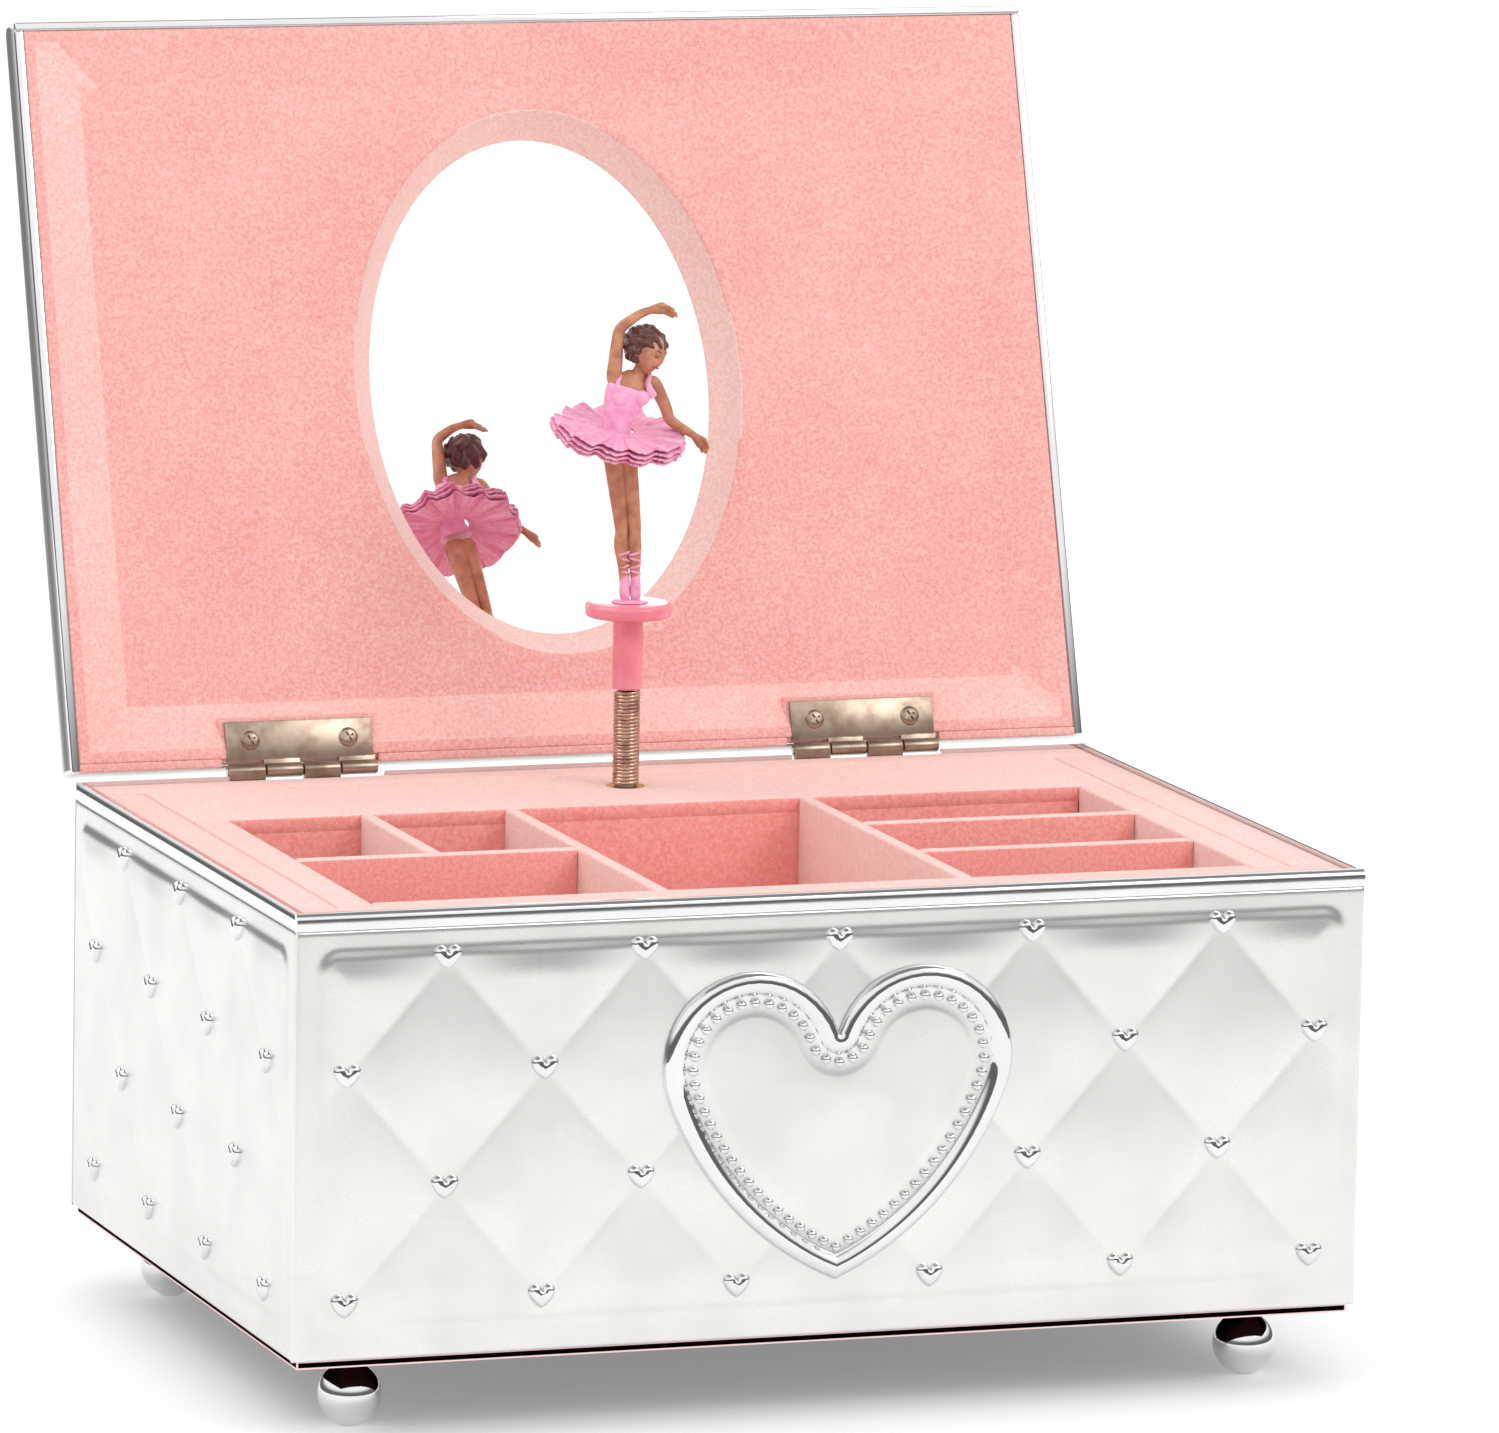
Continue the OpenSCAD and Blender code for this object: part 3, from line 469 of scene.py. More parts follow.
def heart_outline(width, inset, centre=(0, 0), height=0.0, notch=5, lobe=22, side=18):
    """Points round a heart, drawn in by inset: a round in the notch, two lobes and two long bowed sides."""
    r, lobe_x, tip = 0.257 * width, 0.243 * width, 0.6 * width
    lean = math.radians(-20)
    along = lobe_x * math.cos(lean) + tip * math.sin(lean)
    big = (lobe_x**2 + tip**2 + 2 * r * along + r * r) / (2 * (along + r))
    bow = Vector((lobe_x - (big - r) * math.cos(lean), -(big - r) * math.sin(lean)))
    notch_y = math.sqrt(r * r - lobe_x**2)
    half = []

    def arc(cx, cy, radius, start, end, count):
        for i in range(count):
            a = start + (end - start) * i / (count - 1)
            half.append((cx + radius * math.cos(a), cy + radius * math.sin(a)))

    arc(0, notch_y, inset, -math.pi / 2, math.atan2(-notch_y, lobe_x), notch)
    arc(lobe_x, 0, r - inset, math.atan2(notch_y, -lobe_x), lean, lobe)
    arc(bow.x, bow.y, big - inset, lean, -math.acos(-bow.x / (big - inset)), side)
    lift = (tip - r) / 2
    points = half + [(-x, y) for x, y in reversed(half[1:-1])]
    return [Vector((centre[0] + x, centre[1] + y + lift, height)) for x, y in points]


def stud(bm, x, y, height, width=4.6, rise=1.15):
    """A small puffed heart that stands on the plate."""
    deep = 0.2 * width
    loops = []
    for t in (0.02, 0.12, 0.3, 0.55, 0.85):
        up = rise * math.sqrt(1 - (1 - t) ** 2)
        loops.append(heart_outline(width, deep * t, (x, y), height - 0.25 + up, 3, 9, 6))
    loops.insert(0, heart_outline(width, 0.01, (x, y), height - 0.5, 3, 9, 6))
    loft(bm, loops, True, True, material=1)


class Quilt:
    """Diamond quilting: where the studs are, and how high the plate's pillows stand."""

    def __init__(self, pitch_x, pitch_y, origin):
        self.px, self.py, self.origin = pitch_x, pitch_y, origin

    def pillow(self, x, y):
        a = (x - self.origin[0]) / self.px
        b = (y - self.origin[1]) / (2 * self.py)
        across, down = abs(math.sin(math.pi * (a + b))), abs(math.sin(math.pi * (b - a)))
        return (across * down) ** 0.7

    def studs(self, half_x, low_y, high_y):
        found = []
        for row in range(-8, 9):
            y = self.origin[1] + row * self.py
            if not low_y < y < high_y:
                continue
            for column in range(-8, 9):
                x = self.origin[0] + (column + (row % 2) / 2) * self.px
                if abs(x) < half_x:
                    found.append((x, y))
        return found


def rounded_inset(x, y, half_x, half_y, radius):
    """How far a point lies inside a rectangle with round corners."""
    qx, qy = abs(x) - half_x + radius, abs(y) - half_y + radius
    outside = math.hypot(max(qx, 0), max(qy, 0))
    return radius - outside - min(max(qx, qy), 0)


def relief_grid(bm, low, high, step, height, border=1.0):
    """A grid over a rectangle whose points stand at height(x, y), with a wider outer row for its bevel."""
    counts = [round((high[i] - low[i] - 2 * border) / step) + 2 for i in (0, 1)]

    def stations(i):
        span, parts = high[i] - low[i] - 2 * border, counts[i] - 2
        inner = [low[i] + border + span * k / parts for k in range(parts + 1)]
        return [low[i], *inner, high[i]]

    xs, ys = stations(0), stations(1)
    made = bmesh.ops.create_grid(bm, x_segments=counts[0], y_segments=counts[1], size=1)
    for vert in made["verts"]:
        x = xs[round((vert.co.x + 1) / 2 * counts[0])]
        y = ys[round((vert.co.y + 1) / 2 * counts[1])]
        vert.co = (x, y, height(x, y))
    return made["verts"]


def give_back(bm, depth, edge):
    """Turns an open sheet into a plate: walls down from its border, a flat back and a rounded front edge."""
    rim = [e for e in bm.edges if e.is_boundary]
    made = bmesh.ops.extrude_edge_only(bm, edges=rim)
    verts = [g for g in made["geom"] if isinstance(g, bmesh.types.BMVert)]
    for vert in verts:
        vert.co.z = -depth
    bmesh.ops.contextual_create(bm, geom=[e for e in bm.edges if e.is_boundary])
    bevel(bm, rim, edge, 3)


def facing(origin, normal):
    """A frame for a standing face: X along it, Y up, Z out along the normal."""
    along = UP.cross(normal)
    return Matrix.Translation(origin) @ Matrix((along, UP, normal)).transposed().to_4x4()


def heart_plaque(bm, settings, centre, base):
    """The heart on the front: a polished rolled rim, a row of beads and a satin field."""
    width = settings.plaque_width / MM
    rim = ((0.03, -0.6), (0.08, 0.0), (0.25, 0.55), (0.6, 0.86), (1.1, 1.03), (1.7, 1.1), (2.3, 1.06),
           (2.8, 0.9), (3.2, 0.66), (3.45, 0.42), (3.6, 0.3))
    loft(bm, [heart_outline(width, d, centre, base + h) for d, h in rim], True, False, material=1)
    field = ((3.6, 0.3), (3.9, 0.24), (6.4, 0.24), (6.9, 0.3), (7.5, 0.33))
    loft(bm, [heart_outline(width, d, centre, base + h) for d, h in field], False, True, material=0)
    track = heart_outline(width, settings.bead_inset / MM, centre, base + 0.36)
    lengths = [0.0]
    for a, b in zip(track, track[1:] + track[:1]):
        lengths.append(lengths[-1] + (b - a).length)
    track.append(track[0])
    segment = 0
    for i in range(settings.beads):
        want = lengths[-1] * i / settings.beads
        while lengths[segment + 1] < want:
            segment += 1
        t = (want - lengths[segment]) / max(lengths[segment + 1] - lengths[segment], 1e-6)
        spot = track[segment].lerp(track[segment + 1], t)
        made = bmesh.ops.create_icosphere(bm, subdivisions=2, radius=0.86, matrix=Matrix.Translation(spot))
        for face in {f for v in made["verts"] for f in v.link_faces}:
            face.material_index = 1


# ---- what the panel holds ----


class JewelColours(bpy.types.PropertyGroup):
    silver: bpy.props.FloatVectorProperty(
        name="Silver", description="Colour of the satin plate", subtype="COLOR", size=3, min=0, max=1,
        default=linear("E6E5E3")[:3])
    satin_rough: bpy.props.FloatProperty(
        name="Satin", description="Roughness of the satin plate", subtype="FACTOR", min=0, max=1, default=0.24)
    flock: bpy.props.FloatVectorProperty(
        name="Flocking", description="Light colour of the pink flocking", subtype="COLOR", size=3, min=0, max=1,
        default=linear("F6C8C2")[:3])
    flock_deep: bpy.props.FloatVectorProperty(
        name="Flocking, deep", description="Colour down among the pink fibres", subtype="COLOR", size=3, min=0,
        max=1, default=linear("E6928B")[:3])
    ledge: bpy.props.FloatVectorProperty(
        name="Ledge", description="Light colour of the ledge and board tops", subtype="COLOR", size=3, min=0,
        max=1, default=linear("FADFD8")[:3])
    ledge_deep: bpy.props.FloatVectorProperty(
        name="Ledge, deep", description="Colour down among the paler fibres", subtype="COLOR", size=3, min=0,
        max=1, default=linear("F0BAB1")[:3])


class JewelPlate(bpy.types.PropertyGroup):
    grid: bpy.props.FloatProperty(
        name="Grid", description="Spacing of the points that shape the stamped plates", unit="LENGTH",
        default=0.5 * MM, min=0.3 * MM, max=2 * MM)
    step: bpy.props.FloatProperty(
        name="Field step", description="Height of the stamped field's border", unit="LENGTH", default=0.26 * MM)
    pillow: bpy.props.FloatProperty(
        name="Pillow", description="Height of the quilt's pillows over its valleys", unit="LENGTH",
        default=0.32 * MM)
    plaque_width: bpy.props.FloatProperty(
        name="Plaque", description="Width of the heart on the front", unit="LENGTH", default=58.4 * MM)
    bead_inset: bpy.props.FloatProperty(
        name="Bead inset", description="Distance of the bead row from the heart's edge", unit="LENGTH",
        default=4.9 * MM)
    beads: bpy.props.IntProperty(name="Beads", description="Beads round the heart", default=64, min=12, max=120)


class JewelStage(bpy.types.PropertyGroup):
    place: bpy.props.FloatVectorProperty(
        name="Camera", description="Where the camera stands", subtype="TRANSLATION", unit="LENGTH", size=3,
        default=(-0.60806, -1.78633, 0.40519))
    turn: bpy.props.FloatProperty(
        name="Turn", description="How far the camera turns to the right", subtype="ANGLE",
        default=math.radians(19.06))
    dip: bpy.props.FloatProperty(
        name="Dip", description="How far the camera looks down", subtype="ANGLE", default=math.radians(9.32))
    roll: bpy.props.FloatProperty(
        name="Roll", description="How far the camera leans", subtype="ANGLE", default=math.radians(1.02))
    lens: bpy.props.FloatProperty(
        name="Lens", description="Focal length on a 36 mm sensor, in millimetres", default=280.16)
    shift: bpy.props.FloatVectorProperty(
        name="Shift", description="Lens shift to the right and up", size=2, default=(0.0216, 0.0119))
    key: bpy.props.FloatProperty(
        name="Key light", description="Power of the large light at the left", unit="POWER", default=6.5)
    fill: bpy.props.FloatProperty(
        name="Fill light", description="Power of the light at the right", unit="POWER", default=8)
    sky: bpy.props.FloatProperty(
        name="Room", description="Brightness of the white room", default=1.2, min=0, max=5)


class JewelOperator:
    """What every operator here shares: it makes the finishes first and it can be undone."""

    bl_options = {"REGISTER", "UNDO"}

    def execute(self, context):
        make_finishes(context.scene.jewel_colours)
        self.build(context.scene)
        return {"FINISHED"}


# ---- the plated case ----

QUILT_PITCH = (32.3, 18.2)
FIELD_LOW, FIELD_TOP, FIELD_SIDE, FIELD_ROUND = 4.6, 65.4, 3.0, 4.0
LOW_STUDS = 8.7
PLAQUE_Z, PLAQUE_CLEAR = 33.9, 25.0
PLATE_T = 1.0

# The roll along the rims' outer edge, the lid's bright edge, and the flocked lengths of its hinge side
ROLL = 1.2
BRIGHT_W = 1.4
LEAF_GAP_IN, LEAF_GAP_OUT = 36, 63.2

# The closed lid, measured from its hinge line
LID_BACK, LID_DEPTH, LID_LOW = -0.9, 126.4, 0.5
LID_MIDDLE = LID_BACK - LID_DEPTH / 2
LID_TRIM_TOP, LID_EDGE_TOP, LID_DOME = LID_LOW + 1.2, LID_LOW + 6.0, 6.0
OVAL_MIDDLE, OVAL_A, OVAL_B = -64.8, 34.0, 46.4
MIRROR_Z = LID_LOW + 7.9


class JEWEL_OT_sides(JewelOperator, bpy.types.Operator):
    """Stamp the four quilted sides, with the heart plaque on the front"""

    bl_idname = "jewel.sides"
    bl_label = "Quilted sides"

    def build(self, scene):
        plate = scene.jewel_plate
        middle = (SHELL_LOW + SHELL_HIGH) / 2
        half = (SHELL_HIGH - SHELL_LOW) / 2
        foot = SHELL_LOW.z
        for name, normal, reach, half_w in (
            ("front", -BACK, half.y, half.x),
            ("back", BACK, half.y, half.x),
            ("left", -RIGHT, half.x, half.y - PLATE_T),
            ("right", RIGHT, half.x, half.y - PLATE_T),
        ):
            bm = bmesh.new()
            quilt = Quilt(*QUILT_PITCH, (QUILT_PITCH[0] / 2, LOW_STUDS))
            height = self.stamped(quilt, half_w, plate)
            top = SHELL_HIGH.z - foot - RIM_H
            relief_grid(bm, (-half_w, 0), (half_w, top), plate.grid / MM, height)
            give_back(bm, PLATE_T, 0.45)
            for x, y in quilt.studs(half_w - FIELD_SIDE, FIELD_LOW, FIELD_TOP):
                if name != "front" or max(abs(x), abs(y - PLAQUE_Z)) > PLAQUE_CLEAR:
                    stud(bm, x, y, height(x, y))
            if name == "front":
                heart_plaque(bm, plate, (0, PLAQUE_Z), 0.9)
            origin = Vector((middle.x, middle.y, foot)) + normal * reach
            piece(bm, "plated_" + name, "case", ["satin_silver", "polished_silver"], "silver_plate",
                  ["skin_" + name], facing(origin, normal))

    def stamped(self, quilt, half_w, plate):
        step, pillow = plate.step / MM, plate.pillow / MM
        middle, half_h = (FIELD_TOP + FIELD_LOW) / 2, (FIELD_TOP - FIELD_LOW) / 2

        def height(x, y):
            inside = rounded_inset(x, y - middle, half_w - FIELD_SIDE, half_h, FIELD_ROUND)
            if inside <= 0:
                return 0.0
            return step * ease(inside / 1.8) + pillow * ease(inside / 6) * quilt.pillow(x, y)

        return height


class JEWEL_OT_rims(JewelOperator, bpy.types.Operator):
    """Roll the polished edge round the top of the case"""

    bl_idname = "jewel.rims"
    bl_label = "Rolled rims"

    def build(self, scene):
        for side in ("front", "back", "left", "right"):
            bm = bmesh.new()
            low, high = box_mm("rim_" + side)
            spans = [(low, high)]
            if side == "back":
                leaf = box_mm("hinge_body_leaves")
                gap = [-leaf[1].x - 0.4, -leaf[1].x + 26.4, leaf[1].x - 26.4, leaf[1].x + 0.4]
                ends = [low.x, *gap, high.x]
                spans = [((ends[i], low.y, low.z), (ends[i + 1], high.y, high.z)) for i in (0, 2, 4)]
            outward = {"front": (0, -1), "back": (0, 1), "left": (-1, 0), "right": (1, 0)}[side]
            for first, last in spans:
                self.rolled(bm, Vector(first), Vector(last), outward)
            piece(bm, "rolled_rim_" + side, "case", ["polished_silver"], "silver_plate", ["rim_" + side])


    def rolled(self, bm, low, high, outward):
        """A bar whose outer top edge is rolled over in a wide curve."""
        block(bm, low, high, 0)
        middle = (low + high) / 2
        way = Vector((*outward, 0))

        def rolls(vert):
            off = vert.co - middle
            return off.z > 0 and off.dot(way) > 0 and low.x - 0.01 < vert.co.x < high.x + 0.01

        bevel(bm, [edge for edge in bm.edges if all(rolls(vert) for vert in edge.verts)], ROLL, 8)


class JEWEL_OT_lid(JewelOperator, bpy.types.Operator):
    """Stamp the lid's quilted shell and its bright edge"""

    bl_idname = "jewel.lid"
    bl_label = "Lid shell"

    def build(self, scene):
        plate = scene.jewel_plate
        half = ((SHELL_HIGH.x - SHELL_LOW.x) / 2, LID_DEPTH / 2)
        quilt = Quilt(*QUILT_PITCH, (0, 0))

        def height(x, y):
            inside = rounded_inset(x, y, half[0] - 4, half[1] - 4, 3)
            if inside <= 0:
                return 0.0
            pillow = 0.35 * ease((inside - 5) / 5) * (quilt.pillow(x, y) - 1)
            return LID_DOME * ease(inside / 5.5) + pillow

        bm = bmesh.new()
        relief_grid(bm, (-half[0], -half[1]), half, 1.6 * plate.grid / MM, height)
        rim = [edge for edge in bm.edges if edge.is_boundary]
        walls = bmesh.ops.extrude_edge_only(bm, edges=rim)["geom"]
        for vert in (item for item in walls if isinstance(item, bmesh.types.BMVert)):
            vert.co.z = LID_TRIM_TOP - LID_EDGE_TOP
        bevel(bm, rim, 0.5, 3)
        place = LID_PLACE @ Matrix.Translation((0, LID_MIDDLE, LID_EDGE_TOP))
        shell = piece(bm, "lid_plate", "lid", ["satin_silver"], "silver_plate", ["lid_shell"], place)
        wall = shell.modifiers.new("Wall", "SOLIDIFY")
        wall.thickness, wall.offset = 1.0 * MM, -1
        bm = bmesh.new()
        for x, y in quilt.studs(half[0] - 12, -half[1] + 10, half[1] - 10):
            stud(bm, x, y, height(x, y) - 0.1, rise=0.9)
        for face in bm.faces:
            face.material_index = 0
        piece(bm, "lid_studs", "lid", ["polished_silver"], "silver_plate", [], place)
        wide, deep = half
        side, back = wide - BRIGHT_W, deep - BRIGHT_W
        bright = (((-wide, -deep), (wide, -back)), ((-wide, -back), (-side, deep)), ((side, -back), (wide, deep)))
        covered = (
            ((-side, back), (-LEAF_GAP_OUT, deep)),
            ((-LEAF_GAP_IN, back), (LEAF_GAP_IN, deep)),
            ((LEAF_GAP_OUT, back), (side, deep)),
        )
        for name, spans, finish, slot, nodes in (
            ("lid_bright_edge", bright, "polished_silver", "silver_plate", ["lid_trim"]),
            ("lid_covered_edge", covered, "flock", "pink_flock_board", []),
        ):
            bm = bmesh.new()
            for low, high in spans:
                block(bm, (*low, LID_LOW - LID_EDGE_TOP), (*high, LID_TRIM_TOP - LID_EDGE_TOP), 0.25, 3)
            piece(bm, name, "lid", [finish], slot, nodes, place)


def rect_ring(inset, z):
    """Points round a rectangle drawn in from the lid's outline, crowded near its corners."""
    half_x, half_y = (SHELL_HIGH.x - SHELL_LOW.x) / 2 - inset, LID_DEPTH / 2 - inset
    corners = [(-half_x, -half_y), (half_x, -half_y), (half_x, half_y), (-half_x, half_y)]
    shares = [0, 0.004, 0.02, 0.06] + [0.06 + 0.88 * i / 22 for i in range(1, 22)] + [0.94, 0.98, 0.996]
    points = []
    for i, (x0, y0) in enumerate(corners):
        x1, y1 = corners[(i + 1) % 4]
        points += [Vector((x0 + (x1 - x0) * s, y0 + (y1 - y0) * s + LID_MIDDLE, z)) for s in shares]
    return points


def oval_ring(a, b, z):
    """Points round the mirror's oval, one for each point of a rectangle's ring."""
    points = []
    for corner in rect_ring(12, z):
        angle = math.atan2((corner.y - LID_MIDDLE) / 51, corner.x / 77)
        points.append(Vector((a * math.cos(angle), b * math.sin(angle) + OVAL_MIDDLE, z)))
    return points


class JEWEL_OT_liner(JewelOperator, bpy.types.Operator):
    """Line the lid: a sloping flocked border, a flat panel and the bevelled oval round the mirror"""

    bl_idname = "jewel.liner"
    bl_label = "Lid liner"

    def build(self, scene):
        land, panel = LID_LOW + 0.15, LID_LOW + 2.4
        back = LID_LOW + 4.9
        bm = bmesh.new()
        loops = [rect_ring(inset, z) for inset, z in (
            (1.45, back), (1.45, land + 0.25), (1.5, land + 0.08), (1.65, land), (1.9, land), (2.7, land),
            (2.9, land + 0.04), (3.3, land + 0.14), (10.9, panel - 0.22), (11.4, panel - 0.08),
            (11.9, panel), (12.6, panel))]
        loops += [oval_ring(OVAL_A + out, OVAL_B + out, z) for out, z in (
            (2.0, panel), (0.7, panel), (0.2, panel + 0.08), (-0.15, panel + 0.4), (-0.35, panel + 0.9),
            (-3.7, MIRROR_Z - 0.5), (-3.95, MIRROR_Z - 0.25), (-4.1, MIRROR_Z), (3.0, MIRROR_Z), (3.0, back))]
        loops.append(loops[0])
        loft(bm, loops)
        for face in bm.faces:
            spot = face.calc_center_median()
            if math.hypot(spot.x / OVAL_A, (spot.y - OVAL_MIDDLE) / OVAL_B) < 1.0 and spot.z < MIRROR_Z - 0.1:
                face.material_index = 1
            # The left and hinge-side slopes take the lighter pink as painted light
            elif land + 0.1 < spot.z < panel - 0.05 and (spot.x < -79 or spot.y > LID_BACK - 10):
                face.material_index = 2
        for side in (-1, 1):
            x = side * HINGE_X
            block(bm, (x - 13.6, -9.3, LID_LOW + 0.7), (x + 13.6, -1.6, panel + 0.6), 0.3, 2)
        piece(bm, "lid_lining", "lid", ["flock", "pale_flock", "brushed_flock"], "pink_flock_board", ["lid_liner"],
              LID_PLACE, sharp=50)


# ---- hinges ----

HINGE_X, LEAF_LEN, LEAF_W, LEAF_T, BARREL_R, KNUCKLES = 49.6, 26.0, 8.4, 0.8, 1.2, 4
SCREW_X, SCREW_Y, HEAD_R = 8.5, -5.2, 1.62


def knuckle(bm, x, length):
    """One rolled knuckle along X, with rounded ends."""
    half = length / 2
    outline = [(0, -half), (BARREL_R - 0.25, -half), (BARREL_R - 0.07, -half + 0.08), (BARREL_R, -half + 0.25),
               (BARREL_R, half - 0.25), (BARREL_R - 0.07, half - 0.08), (BARREL_R - 0.25, half), (0, half)]
    turned(bm, outline, Matrix.Translation((x, 0, 0)) @ Matrix.Rotation(math.pi / 2, 4, "Y"), 24)


def screw_head(bm, place):
    """A low domed head with a cross cut down into it."""
    blank = bmesh.new()
    dome = [(0, -0.2), (HEAD_R, -0.2), (HEAD_R, 0.12), (HEAD_R - 0.12, 0.27), (1.1, 0.42), (0.62, 0.48), (0, 0.5)]
    turned(blank, dome, None, 32)
    bmesh.ops.remove_doubles(blank, verts=blank.verts, dist=1e-4)
    bmesh.ops.recalc_face_normals(blank, faces=blank.faces)
    mesh = bpy.data.meshes.new("head")
    blank.to_mesh(mesh)
    blank.free()
    cutter = bmesh.new()
    long, wide = 0.95, 0.19
    quarter = [(long, -wide), (long, wide), (wide, wide)]
    spins = [Matrix.Rotation(0.5 + i * math.pi / 2, 3, "Z") for i in range(4)]
    cross = [[spin @ Vector((x, y, z)) for spin in spins for x, y in quarter] for z in (0.06, 1.0)]
    loft(cutter, cross, True, True)
    bmesh.ops.recalc_face_normals(cutter, faces=cutter.faces)
    blade = bpy.data.meshes.new("cross")
    cutter.to_mesh(blade)
    cutter.free()
    head, cross = bpy.data.objects.new("head", mesh), bpy.data.objects.new("cross", blade)
    for made in (head, cross):
        bpy.context.scene.collection.objects.link(made)
    carve = head.modifiers.new("Cut", "BOOLEAN")
    carve.object, carve.operation, carve.solver = cross, "DIFFERENCE", "EXACT"
    bpy.context.view_layer.update()
    result = bpy.data.meshes.new_from_object(head.evaluated_get(bpy.context.evaluated_depsgraph_get()))
    before = set(bm.verts)
    bm.from_mesh(result)
    bmesh.ops.transform(bm, matrix=place, verts=[vert for vert in bm.verts if vert not in before])
    for made in (head, cross):
        bpy.data.objects.remove(made)
    for used in (mesh, blade, result):
        bpy.data.meshes.remove(used)


class JEWEL_OT_hinges(JewelOperator, bpy.types.Operator):
    """Hang the lid on two hinges with rolled knuckles and cross-head screws"""

    bl_idname = "jewel.hinges"
    bl_label = "Hinges"

    def build(self, scene):
        closed = Matrix.Translation(HINGE)
        step = LEAF_LEN / KNUCKLES
        for side, body, node, place in (
            (1, "lid", "hinge_lid_leaves", LID_PLACE), (-1, "case", "hinge_body_leaves", closed)):
            bm = bmesh.new()
            for x in (-HINGE_X, HINGE_X):
                low = 0.4 if side > 0 else -2.4
                half = LEAF_LEN / 2 - 0.3
                block(bm, (x - half, -LEAF_W, low), (x + half, -1.8, low + LEAF_T), 0.14, 2)
                for i in range(0 if side < 0 else 1, KNUCKLES, 2):
                    start = x - LEAF_LEN / 2 + i * step + 0.1
                    if side > 0:
                        block(bm, (start, -2.2, low), (start + step - 0.2, -0.2, low + LEAF_T), 0.12, 2)
                    else:
                        block(bm, (start, -1.15, low), (start + step - 0.2, -0.1, -0.1), 0.12, 2)
                    knuckle(bm, start + step / 2 - 0.1, step - 0.2)
            piece(bm, node.replace("_leaves", "_plates"), body, ["nickel"], "hinge_plate", [node], place)
        bm = bmesh.new()
        for x in (-HINGE_X, HINGE_X):
            for dx in (-SCREW_X, SCREW_X):
                flip = Matrix.Translation((x + dx, SCREW_Y, 0.42)) @ Matrix.Rotation(math.pi, 4, "X")
                screw_head(bm, flip)
        piece(bm, "hinge_screw_heads", "lid", ["nickel"], "steel_screw", ["hinge_lid_screws"], LID_PLACE)
        bm = bmesh.new()
        for x in (-HINGE_X, HINGE_X):
            half = LEAF_LEN / 2 + 0.05
            outline = [(0, -half), (0.45, -half), (0.55, -half + 0.1), (0.55, half - 0.1), (0.45, half), (0, half)]
            turned(bm, outline, closed @ Matrix.Translation((x, 0, 0)) @ Matrix.Rotation(math.pi / 2, 4, "Y"), 20)
        piece(bm, "hinge_wires", "case", ["steel"], "steel_screw", ["hinge_pins"])


# ---- flocked boards ----


